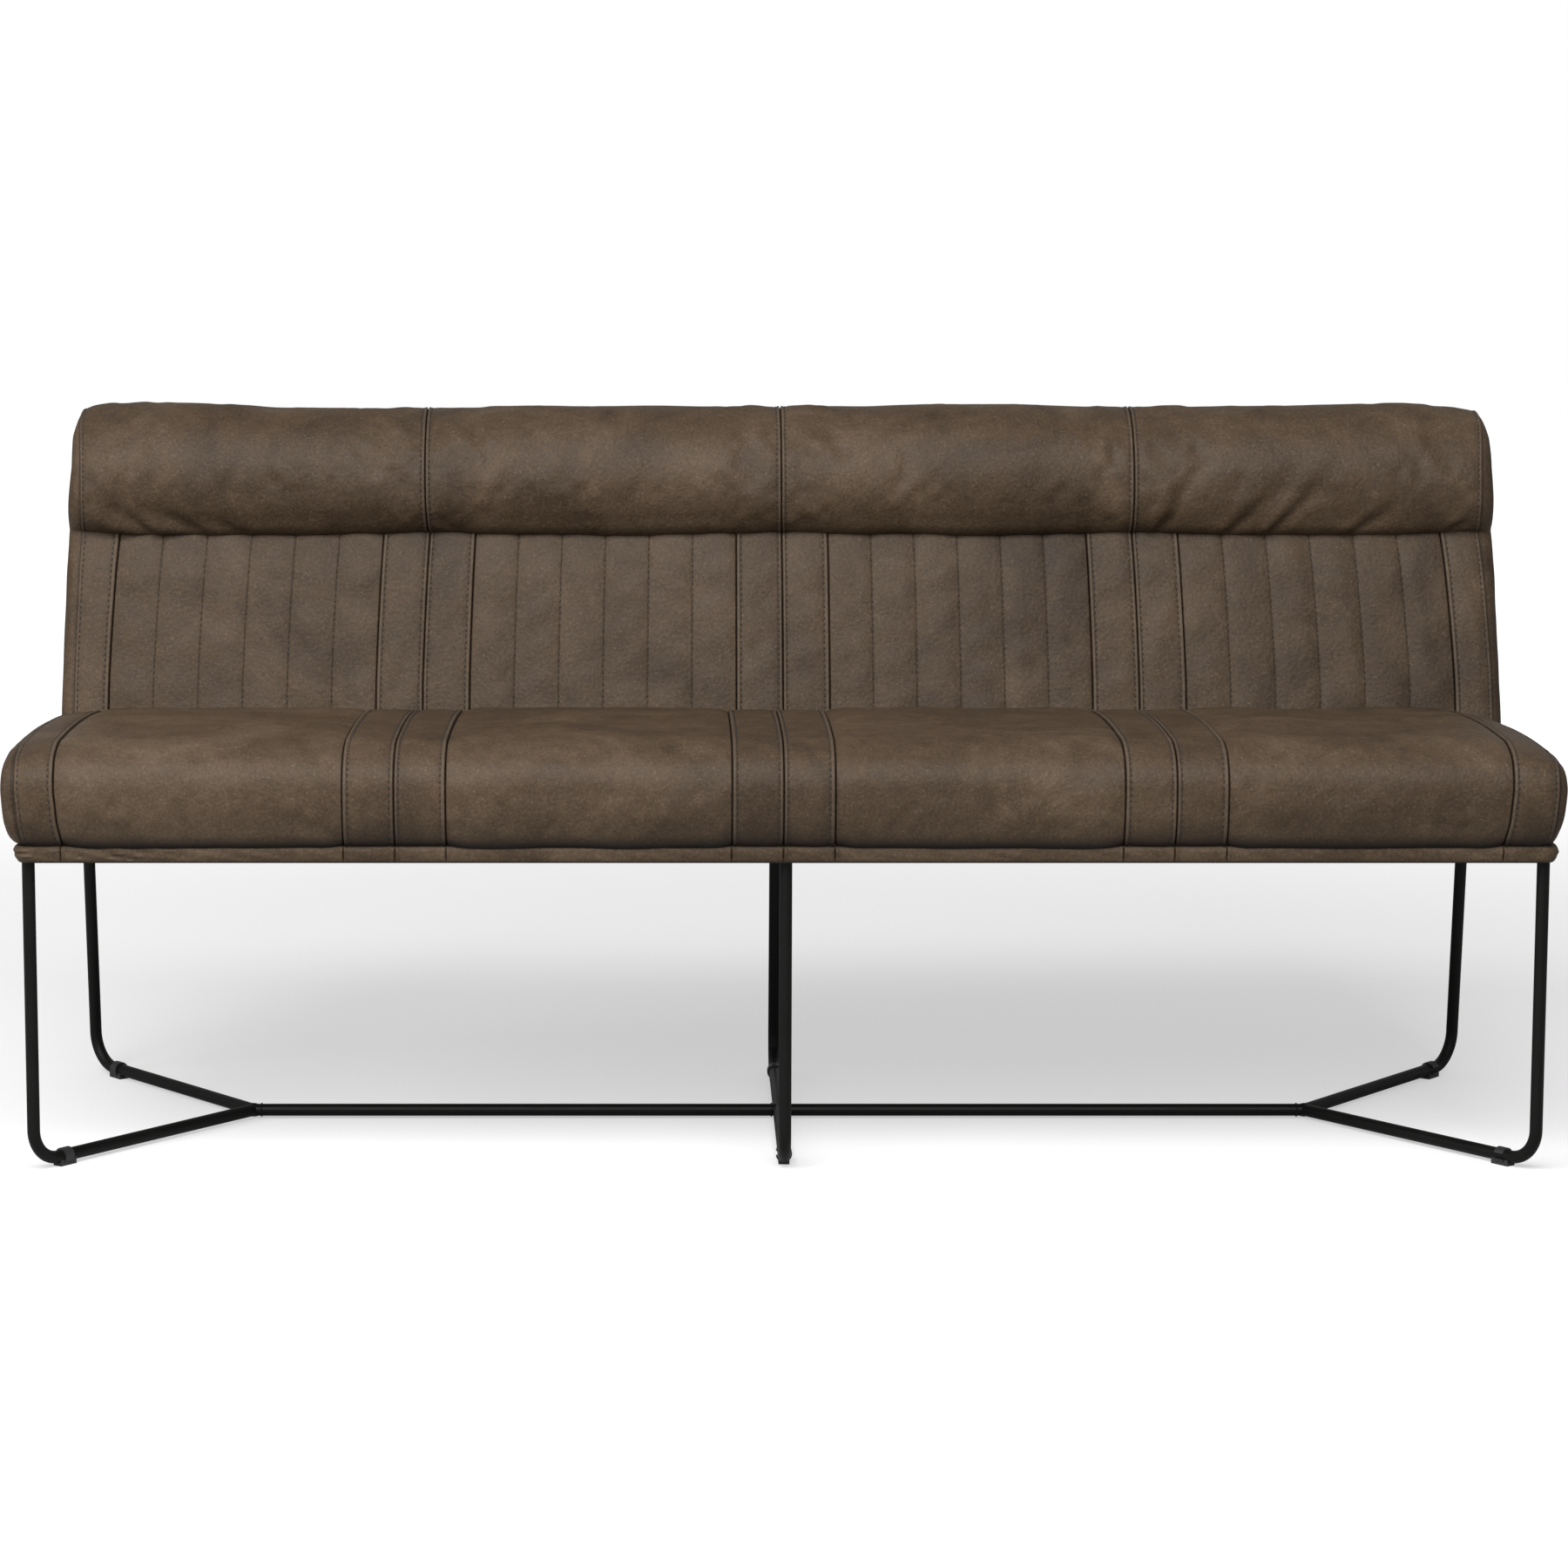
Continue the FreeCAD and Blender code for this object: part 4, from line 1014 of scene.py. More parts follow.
@dataclass(frozen=True)
class Stuffing:
    """Lets a leather piece settle over its filling with Blender's cloth, sewn down at its rim.

    The cloth is cut a little larger than its place, so it gathers at the seams, and pressed out from inside.
    No point may sink behind where it starts, and the heights are eased to the piece's rise at most.
    """

    cell: float = 13.0
    pressure: float = 4.0
    spare: float = 0.014
    uneven: float = 0.8
    frames: int = 20

    def settle(self, profile: Profile, panel: Panel) -> Settled:
        """Simulate one piece.

        Args:
            profile: the section that it lies over.
            panel: the piece.

        Returns:
            Its heights, from 0 at the seams.
        """
        wide = int(round((panel.right - panel.left) / self.cell)) + 1
        long = int(round(profile.length / self.cell)) + 1
        across = np.linspace(panel.left, panel.right, wide)
        along = np.linspace(0, profile.length, long)
        grid = np.arange(wide * long).reshape(wide, long)
        rim = np.unique(np.concatenate([grid[0], grid[-1], grid[:, 0], grid[:, -1]]))
        start = self.uneven * np.abs(ripple(across[:, None], along[None, :], 60.0, panel.seed + 7))
        start.ravel()[rim] = 0.0
        placed = np.broadcast_to(across[:, None], start.shape)
        flat = spread(profile, placed, along, start)
        mesh = bpy.data.meshes.new("settling_leather")
        mesh.from_pydata(flat.reshape(-1, 3).tolist(), [], quads(grid).tolist())
        piece = add_object("settling_leather", mesh)
        piece.vertex_groups.new(name="sewn").add(rim.tolist(), 1.0, "ADD")
        cloth = piece.modifiers.new("cloth", "CLOTH")
        made = cloth.settings
        made.vertex_group_mass = "sewn"
        made.use_pressure = True
        made.uniform_pressure_force = self.pressure
        made.shrink_min = made.shrink_max = -self.spare
        made.effector_weights.gravity = 0
        cloth.point_cache.frame_start, cloth.point_cache.frame_end = 1, self.frames
        for moment in range(1, self.frames + 1):
            bpy.context.scene.frame_set(moment)
        graph = bpy.context.evaluated_depsgraph_get()
        done = np.empty(3 * wide * long)
        piece.evaluated_get(graph).data.vertices.foreach_get("co", done)
        bpy.data.objects.remove(piece)
        bpy.data.meshes.remove(mesh)
        bpy.context.scene.frame_set(1)
        moved = done.reshape(wide, long, 3) / MM - spread(profile, placed, along, np.zeros(start.shape)) / MM
        way = profile.place(along)[1]
        raw = np.clip((moved[:, :, 1:] * way[None, :, :]).sum(axis=2), 0, None)
        give = max(0.9 * panel.rise, float(raw.max()) * panel.ramp / 400)
        height = panel.rise * (1 - np.exp(-raw / give)) / (1 - math.exp(-float(raw.max()) / give))
        LOG.info("settled a piece %.0f mm wide: pressed out %.1f mm, capped to %.1f mm",
                 panel.right - panel.left, raw.max(), height.max())
        return Settled(panel.left, float(across[1] - across[0]), float(along[1] - along[0]), height)


# How high the leather stands where it is palest, and how pale it is there, from rubbed wear and a painted
# highlight.
FULL_RUB_AND_HIGHLIGHT_HEIGHT = 1.8
MOST_RUB_AND_HIGHLIGHT = 0.15
# Narrower pieces aren't simulated: they are filled by rule.
NARROWEST_STUFFED = 200.0


@dataclass
class Cover:
    """A leather cover over one section: all its pieces are cut from the same profile."""

    profile: Profile
    stuffing: Stuffing | None = None
    settled: dict[Panel, Settled] = field(default_factory=dict)
    pitch: float = 4.0
    step: float = 3.5
    crease_shade: float = 0.0
    far_shade: float = 0.0
    crease_width: float = 6.0
    soft_shade: Pair = (0.0, 0.0)
    soft_width: float = 44.0

    def along(self) -> np.ndarray:
        """Places of the grid's points along the section.

        Returns:
            Lengths from the section's start.
        """
        count = int(round(self.profile.length / self.step)) + 1
        ends = np.array([0.8, 1.8, 3.0])
        even = np.linspace(0, self.profile.length, count)
        return np.unique(np.concatenate([even, ends, self.profile.length - ends]))

    def warp(self, across: np.ndarray, along: np.ndarray) -> np.ndarray:
        """X of points, after the seams are drawn aside; the plain cover draws none."""
        return np.broadcast_to(across[:, None], (len(across), len(along))).copy()

    def swell(self, panel: Panel, across: np.ndarray, along: np.ndarray) -> np.ndarray:
        """Height from this cover's own form, besides puff and seams; the plain cover has none."""
        return np.zeros((len(across), len(along)))

    def lift(self, panel: Panel, across: np.ndarray, along: np.ndarray) -> np.ndarray:
        """Whole height over seam level."""
        total = panel.relief(across)[:, None] + self.filled(panel, across, along)
        return total + self.swell(panel, across, along)

    def filled(self, panel: Panel, across: np.ndarray, along: np.ndarray) -> np.ndarray:
        """Height that the filling gives.

        Args:
            panel: the piece.
            across: places across it.
            along: places along it.

        Returns:
            (wide, long) heights, simulated for the wide stuffed pieces and by rule for the rest.
        """
        by_rule = np.broadcast_to(panel.puff(across)[:, None], (len(across), len(along)))
        if self.stuffing is None or panel.right - panel.left < NARROWEST_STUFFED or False:
            return by_rule
        if panel not in self.settled:
            self.settled[panel] = self.stuffing.settle(self.profile, panel)
        # The rim of the sheet is held everywhere, but a cover stays full up to its creases.
        settled = self.settled[panel].read(across, along)
        from_end = np.minimum(along, self.profile.length - along)
        share = step_up(from_end, 22.0, 8.0)[None, :]
        return settled * share + by_rule * (1 - share)

    def shell(self, panel: Panel) -> Shell:
        """Build one leather piece.

        Args:
            panel: the piece.

        Returns:
            Its closed shell.
        """
        across, along = panel.grid(self.pitch), self.along()
        placed = self.warp(across, along)
        lift = self.lift(panel, across, along)
        outer = spread(self.profile, placed, along, lift)
        under = np.minimum(lift[[0, -1]], 0.0) - LEATHER_THICKNESS
        inner = spread(self.profile, placed[[0, -1]], along, under)
        # Raised lips are painted paler: rubbed wear with a painted highlight.
        rub_and_highlight = np.clip(panel.relief(across) / FULL_RUB_AND_HIGHLIGHT_HEIGHT, 0, 1) * MOST_RUB_AND_HIGHLIGHT
        # Painted shade in the creases at both ends of the section, narrow and in a wider band, joined with
        # the painted shade beside the seams.
        far_along = self.profile.length - along
        crease = self.crease_shade * dip(along, 0.0, self.crease_width)
        crease = crease + self.far_shade * dip(far_along, 0.0, self.crease_width)
        crease = crease + self.soft_shade[0] * dip(along, 0.0, self.soft_width)
        crease = crease + self.soft_shade[1] * dip(far_along, 0.0, self.soft_width)
        dark = np.clip(np.maximum(panel.shade(across)[:, None], crease[None, :]), 0, 1)
        return Shell(outer, inner, dark, np.broadcast_to(rub_and_highlight[:, None], dark.shape).copy(), panel.tone)

    def row(self, panel: Panel, place: float) -> np.ndarray:
        """The line that a row of stitches follows.

        Args:
            panel: the piece that it is sewn on.
            place: x of the row before the seams are drawn aside.

        Returns:
            (n, 3) points in metres.
        """
        along = self.along()
        across = np.array([place])
        return spread(self.profile, self.warp(across, along), along, self.lift(panel, across, along))[0]


# Heights on the seat and how far its ends stand in or out there.
SEAT_LEVELS = (390.0, 418.0, 455.0, 490.0)
SEAT_BOW = (-7.0, -2.5, 0.5, 1.0)


@dataclass
class SeatCover(Cover):
    """The seat's cover: from the hem over the rounded front edge and back to the backrest."""

    tuck: float = 3.5
    end_seam: float = 836.0
    edge: float = 887.0
    end_tilt: Pair = (5.0, 15.0)
    tilt_before: float = 16.0
    creases: tuple[Crease, ...] = ()

    def warp(self, across: np.ndarray, along: np.ndarray) -> np.ndarray:
        """The seams near both ends stand in at the hem and bow out above it, where the seat is fullest.

        Args:
            across: places across the piece.
            along: places along it.

        Returns:
            X of the points.
        """
        levels = self.profile.place(along)[0][:, 1]
        bow = np.interp(levels, SEAT_LEVELS, SEAT_BOW)
        share = np.clip((np.abs(across) - 480.0) / 350.0, 0, 1) ** 2
        return across[:, None] + (np.sign(across) * share)[:, None] * bow[None, :]

    def tilt(self, across: np.ndarray, along: np.ndarray) -> np.ndarray:
        """How the top sinks from the end seams outwards, most at the right, as in the photograph.

        Args:
            across: places across the piece.
            along: places along it.

        Returns:
            (wide, long) heights in millimetres.
        """
        start = self.end_seam - self.tilt_before
        share = np.clip((np.abs(across) - start) / (self.edge - start), 0, 1) ** 1.7
        sink = np.where(across < 0, self.end_tilt[0], self.end_tilt[1])
        return -(share * sink)[:, None] * step_up(along, 110.0, 22.0)[None, :]

    def swell(self, panel: Panel, across: np.ndarray, along: np.ndarray) -> np.ndarray:
        """Turned in at the hem and under the back, and softly uneven between.

        Args:
            panel: the piece.
            across: places across the piece.
            along: places along it.

        Returns:
            (wide, long) heights in millimetres.
        """
        wide, long = across[:, None], along[None, :]
        far = self.profile.length - long
        total = self.tilt(across, along) - self.tuck * dip(far, 0.0, 7.0) - 0.4 * dip(long, 0.0, 4.0)
        edge = np.minimum(wide - panel.left, panel.right - wide)
        inside = np.clip(edge / 40.0, 0, 1)
        total = total + 0.9 * inside * ripple(wide, long, 130.0, panel.seed)
        gather = dip(edge, 9.0, 7.0) * ripple(np.zeros_like(wide), long, 26.0, panel.seed + 50)
        for crease in self.creases:
            total = total + inside * crease.lift(wide, far)
        return total + 0.28 * gather * min(1.0, panel.rise / 4.0)


@dataclass
class BackCover(Cover):
    """The back's cover below the crease: its seams are drawn towards the middle at the crease."""

    draw_start: float = 70.0
    draw_at: tuple[float, ...] = (-878.8, -835.2, -443.0, 7.0, 452.0, 846.0, 893.0)
    drawn: tuple[float, ...] = (4.5, 9.9, 7.3, -1.0, -6.3, -13.0, -11.0)

    def warp(self, across: np.ndarray, along: np.ndarray) -> np.ndarray:
        """Seams bow in towards the crease, as the photograph shows."""
        share = np.clip((along - self.draw_start) / (self.profile.length - self.draw_start), 0, 1)
        return across[:, None] + np.interp(across, self.draw_at, self.drawn)[:, None] * share[None, :] ** 1.4

    def swell(self, panel: Panel, across: np.ndarray, along: np.ndarray) -> np.ndarray:
        """Softly uneven channels that flatten into the crease.

        Args:
            panel: the piece.
            across: places across the piece.
            along: places along it.

        Returns:
            (wide, long) heights in millimetres.
        """
        wide, long = across[:, None], along[None, :]
        far = self.profile.length - long
        inside = np.clip(panel.from_lines(across)[:, None] / 16.0, 0, 1)
        total = 0.7 * inside * ripple(wide, long, 60.0, panel.seed)
        return total - 0.3 * inside * dip(far, 12.0, 9.0)


@dataclass
class RollCover(Cover):
    """The head roll: from the crease round its nose and over to the rear seam, sagging at the seams."""

    seam_dip: float = 2.2
    middle_dip: float = 0.6
    end_drop: Pair = (7.0, 6.5)
    end_round: Pair = (38.0, 90.0)
    creases: tuple[Crease, ...] = ()
    edges: Pair = (-871.5, 880.5)
    seams: tuple[float, ...] = (-450.0, 0.0, 450.0)
    # Each panel's fullest place, how wide it is and how much it adds to the top line.
    full_places: tuple[Triple, ...] = (
        (-780.0, 115.0, 6.0), (-250.0, 150.0, 2.0), (275.0, 145.0, 5.6), (740.0, 115.0, 3.3))
    draw_at: tuple[float, ...] = (-871.5, -440.8, 4.8, 445.8, 880.5)
    drawn: tuple[float, ...] = (-2.8, 3.6, 1.3, 0.0, 1.5)
    crown_out: float = 7.5

    def warp(self, across: np.ndarray, along: np.ndarray) -> np.ndarray:
        """The seams are drawn aside at the crease, and the ends stand wider over the top.

        Args:
            across: places across the piece.
            along: places along it.

        Returns:
            X of the points.
        """
        share = np.exp(-along / 34.0)
        wider = self.crown_out * np.sign(across) * np.clip((np.abs(across) - 480.0) / 391.0, 0, 1) ** 2
        aside = np.interp(across, self.draw_at, self.drawn)[:, None] * share[None, :]
        return across[:, None] + aside + wider[:, None] * step_up(along, 140.0, 45.0)[None, :]

    def swell(self, panel: Panel, across: np.ndarray, along: np.ndarray) -> np.ndarray:
        """Dips of the top line at the seams, round ends, and folds pulled up from the crease.

        Args:
            panel: the piece.
            across: places across the piece.
            along: places along it.

        Returns:
            (wide, long) heights in millimetres.
        """
        wide, long = across[:, None], along[None, :]
        total = np.zeros((len(across), len(along)))
        first, middle, last = self.seams
        sag = self.seam_dip * (dip(wide, first - 40.0, 150.0) + dip(wide, last - 60.0, 150.0))
        sag = sag + self.middle_dip * dip(wide, middle, 130.0)
        over = step_up(long, 90.0, 50.0)
        fullness = sum(more * dip(wide, place, width) for place, width, more in self.full_places)
        total -= sag * over
        total += fullness * over * (1 - step_up(long, 235.0, 14.0))
        for from_end, drop, round_off in zip((wide - self.edges[0], self.edges[1] - wide), self.end_drop,
                                             self.end_round):
            total -= drop * (1 - np.clip(from_end / round_off, 0, 1)) ** 1.8 * (0.2 + 0.8 * over)
        for crease in self.creases:
            total += crease.lift(wide, long) * np.clip(long / 18.0, 0, 1)
        edge = np.minimum(wide - panel.left, panel.right - wide)
        inside = np.clip(edge / 40.0, 0, 1)
        total += 0.8 * inside * ripple(wide, long, 110.0, panel.seed)
        return total - 0.6 * dip(long, 0.0, 5.0)


@dataclass
class RearCover(Cover):
    """The plain rear of the back, a little wider at its foot than at its top."""

    wider: Pair = (0.0, 0.0)

    def warp(self, across: np.ndarray, along: np.ndarray) -> np.ndarray:
        """Its ends run out towards the foot."""
        aside = np.interp(across, (-870.0, -440.0, 440.0, 870.0), (self.wider[0], 0.0, 0.0, self.wider[1]))
        return across[:, None] + aside[:, None] * (along / self.profile.length)[None, :]


# The bench's leather


# Pieces, each with the CAD nodes that it replaces.
Made = list[tuple[Piece, tuple[str, ...]]]


def wide_row(ends: Pair, seams: tuple[float, ...], strip: float, rise: float, ramp: float,
             tones: tuple[float, ...], seed: int, channels: int = 1) -> list[Panel]:
    """The wide panels that stand between the pairs of strips, from left to right.

    Args:
        ends: the seams of the first and the last panel towards the bench's ends.
        seams: the centre seam of each pair of strips.
        strip: how wide a strip is.
        rise: how full a panel is.
        ramp: over what distance it fills.
        tones: how pale each panel is.
        seed: of the first panel.
        channels: into how many channels a panel is sewn.

    Returns:
        The panels.
    """
    lefts = [ends[0]] + [seam + strip for seam in seams]
    rights = [seam - strip for seam in seams] + [ends[1]]
    return [Panel(left, right, Seam.GAP, Seam.GAP, rise, ramp, tone, channels, seed + count)
            for count, (left, right, tone) in enumerate(zip(lefts, rights, tones))]


def strip_pairs(seams: tuple[float, ...], strip: float, rise: float, ramp: float, tones: tuple[float, ...],
                seed: int) -> list[Panel]:
    """The pairs of narrow strips, from left to right.

    Args:
        seams: the centre seam of each pair.
        strip: how wide a strip is.
        rise: how full it is.
        ramp: over what distance it fills.
        tones: how pale each strip is.
        seed: of the first strip.

    Returns:
        The strips.
    """
    made = []
    for count, seam in enumerate(seams):
        left_tone, right_tone = tones[2 * count:2 * count + 2]
        left_seed, right_seed = seed + count, seed + 10 + count
        made.append(Panel(seam - strip, seam, Seam.LIP, Seam.TWIN, rise, ramp, left_tone, seed=left_seed))
        made.append(Panel(seam, seam + strip, Seam.TWIN, Seam.LIP, rise, ramp, right_tone, seed=right_seed))
    return made


# The four wide pieces' names, from left to right.
WIDE_NAMES = ("outer_left", "inner_left", "inner_right", "outer_right")


def wide_pieces(cover: Cover, panels: list[Panel], name: str, node: str) -> Made:
    """The four wide pieces of a cover, each with the CAD node that it replaces."""
    return [(leather_object(f"{name}_{word}", [cover.shell(panel)]), (f"{node}_{count}",))
            for count, (word, panel) in enumerate(zip(WIDE_NAMES, panels), start=1)]


def joined_piece(cover: Cover, panels: list[Panel], name: str, node: str) -> Made:
    """Several narrow pieces of a cover in one, with the CAD node that it replaces."""
    return [(leather_object(name, [cover.shell(panel) for panel in panels]), (node,))]


@dataclass
class Seat:
    """The seat's sizes and pieces."""

    hem: Pair = (-292.6, 389.6)
    under: Pair = (-305.2, 408.0)
    belly: Pair = (-310.5, 432.0)
    front: Pair = (-311.1, 439.5)
    nose: Pair = (-311.3, 455.0)
    shoulder: Pair = (-303.0, 481.0)
    brow: Pair = (-280.0, 498.0)
    cheek: Pair = (-258.0, 503.6)
    flat: Pair = (-228.0, 505.6)
    middle: Pair = (-60.0, 504.5)
    end: Pair = (143.7, 491.0)
    pair_seams: Triple = (-451.4, -3.2, 448.1)
    strip: float = 59.3
    edge: float = 887.0
    end_seams: Pair = (-841.4, 833.5)
    bulge: Pair = (17.0, 11.0)
    foot_share: Pair = (1.1, 0.85)
    end_tilt: Pair = (5.0, 15.0)
    end_round: float = 15.0
    rise: float = 4.6
    ramp: float = 34.0
    tones: tuple[float, ...] = (0.065, 0.01, 0.03, 0.01)
    strip_tones: tuple[float, ...] = (0.02, -0.01, -0.03, 0.0, 0.01, -0.02)
    # Soft wrinkles of a sat-on seat, measured from the bench's middle and from the backrest.
    wrinkles: tuple[Crease, ...] = (
        Crease((-668.0, 322.0), (-566.0, 268.0), 9.0, 2.2),
        Crease((-640.0, 372.0), (-580.0, 330.0), 8.0, 1.6),
        Crease((-560.0, 300.0), (-516.0, 210.0), 9.0, 1.5),
        Crease((-320.0, 350.0), (-210.0, 330.0), 11.0, 1.2),
        Crease((120.0, 300.0), (250.0, 250.0), 12.0, 1.4),
        Crease((560.0, 330.0), (690.0, 290.0), 11.0, 1.5))
    cover: SeatCover = field(init=False)

    def __post_init__(self) -> None:
        """Lay out the section that all the pieces share."""
        profile = Profile(arc(self.hem, self.under, self.belly), arc(self.belly, self.front, self.nose),
                          arc(self.nose, self.shoulder, self.brow), arc(self.brow, self.cheek, self.flat),
                          arc(self.flat, self.middle, self.end))
        self.cover = SeatCover(profile, Stuffing(), crease_shade=0.85, far_shade=0.3, crease_width=11.0,
                               soft_shade=(0.26, 0.05), end_tilt=self.end_tilt, creases=self.wrinkles)

    def wide_panels(self) -> list[Panel]:
        """The four wide panels."""
        return wide_row(self.end_seams, self.pair_seams, self.strip, self.rise, self.ramp, self.tones, 11)

    def strip_panels(self) -> list[Panel]:
        """The three pairs of narrow strips, from left to right."""
        return strip_pairs(self.pair_seams, self.strip, 2.0, 20.0, self.strip_tones, 21)

    def end_panels(self) -> list[Panel]:
        """The strip at each end of the seat."""
        return [Panel(-self.edge, self.end_seams[0], Seam.EDGE, Seam.LIP, 2.0, 18.0, 0.02, seed=41),
                Panel(self.end_seams[1], self.edge, Seam.LIP, Seam.EDGE, 2.0, 18.0, -0.02, seed=42)]

    def build(self) -> Made:
        """Make the seat's leather pieces.

        Returns:
            Each piece with the CAD nodes that it replaces.
        """
        made = wide_pieces(self.cover, self.wide_panels(), "seat_cushion", "seat_panel")
        made += joined_piece(self.cover, self.strip_panels(), "seat_strip_pairs", "seat_strips")
        made += joined_piece(self.cover, self.end_panels(), "seat_end_bands", "seat_end_strips")
        for side, word in ((-1, "left"), (1, "right")):
            made.append((self.side_pad(side, f"seat_side_{word}"), (f"seat_boxing_{word}",)))
        return made

    def side_pad(self, side: int, name: str) -> Piece:
        """The padded end of the seat: fullest near its top, drawn in towards the hem.

        Args:
            side: -1 for the left end, 1 for the right.
            name: the piece's name.

        Returns:
            The piece.
        """
        place = 0 if side < 0 else 1
        along = np.linspace(2.0, self.cover.profile.length - 2.0, 150)
        spot, way = self.cover.profile.place(along)
        edge = np.array([side * (self.edge - 0.01)])
        tilt = self.cover.tilt(edge, along)[0]
        spot = spot + (tilt - 1.2)[:, None] * way
        toe = np.linspace((spot[-1][0] - 26.0, 390.0), (spot[0][0] + 3.0, 390.0), 90)
        rear = np.linspace(spot[-1], toe[0], 26)[1:-1]
        loop = np.vstack([spot, rear, toe])
        low, high = loop.min(axis=0), loop.max(axis=0)
        centre, half = (low + high) / 2, (high - low) / 2
        insets = np.array([0.0, 0.3, 0.8, 1.6, 2.7, 4.2, 6.2, 8.8, 11.8, 15.0, 20.0, 26.0, 32.0, 38.0])
        rings = []
        for inset in insets:
            # It rounds over sooner towards the front than towards the top.
            scale = 1 - inset * np.array([0.7, 1.25]) / half
            ring = centre + (loop - centre) * scale
            round_off = math.sqrt(max(0.0, 1 - (1 - min(inset / self.end_round, 1.0)) ** 2))
            height = step_up(ring[:, 1], 418.0, 22.0)
            full, foot = self.bulge[place] + 1.0, self.foot_share[place]
            out = full * round_off * (foot + (1 - foot) * height)
            out = out + 0.35 * ripple(ring[:, 0], ring[:, 1], 70.0, 61 + side) * round_off
            bow = np.interp(ring[:, 1], SEAT_LEVELS, SEAT_BOW)
            rings.append(np.column_stack([side * (self.edge - 1.0 + out + bow), ring]))
        flat = rings[0] - np.array([side * 2.0, 0.0, 0.0])
        return ring_object(name, [flat] + rings, side, -0.02)


def ring_object(name: str, rings: list[np.ndarray], side: int, tone: float) -> Piece:
    """Close a stack of rings: a flat first face, walls, and a flat last face.

    Args:
        name: the piece's name.
        rings: loops of (x, y, z) millimetres with the same number of points.
        side: -1 where the rings grow towards -X, 1 towards +X; not used.
        tone: how pale the hide is.

    Returns:
        The piece with its marks.
    """
    count = len(rings[0])
    points = np.vstack(rings) * MM
    loops = np.arange(len(points)).reshape(-1, count)
    faces = face_lists(*[walls(lower, upper) for lower, upper in zip(loops, loops[1:])])
    faces.append(loops[0][::-1].tolist())
    faces.append(loops[-1].tolist())
    piece = mesh_object(name, points, faces)
    face_outwards(piece)
    # Painted shade along the rim where the pad meets the cover.
    painted_shade = np.zeros(len(points))
    painted_shade[:3 * count] = 0.55
    mark_plain(piece, painted_shade, tone)
    return piece


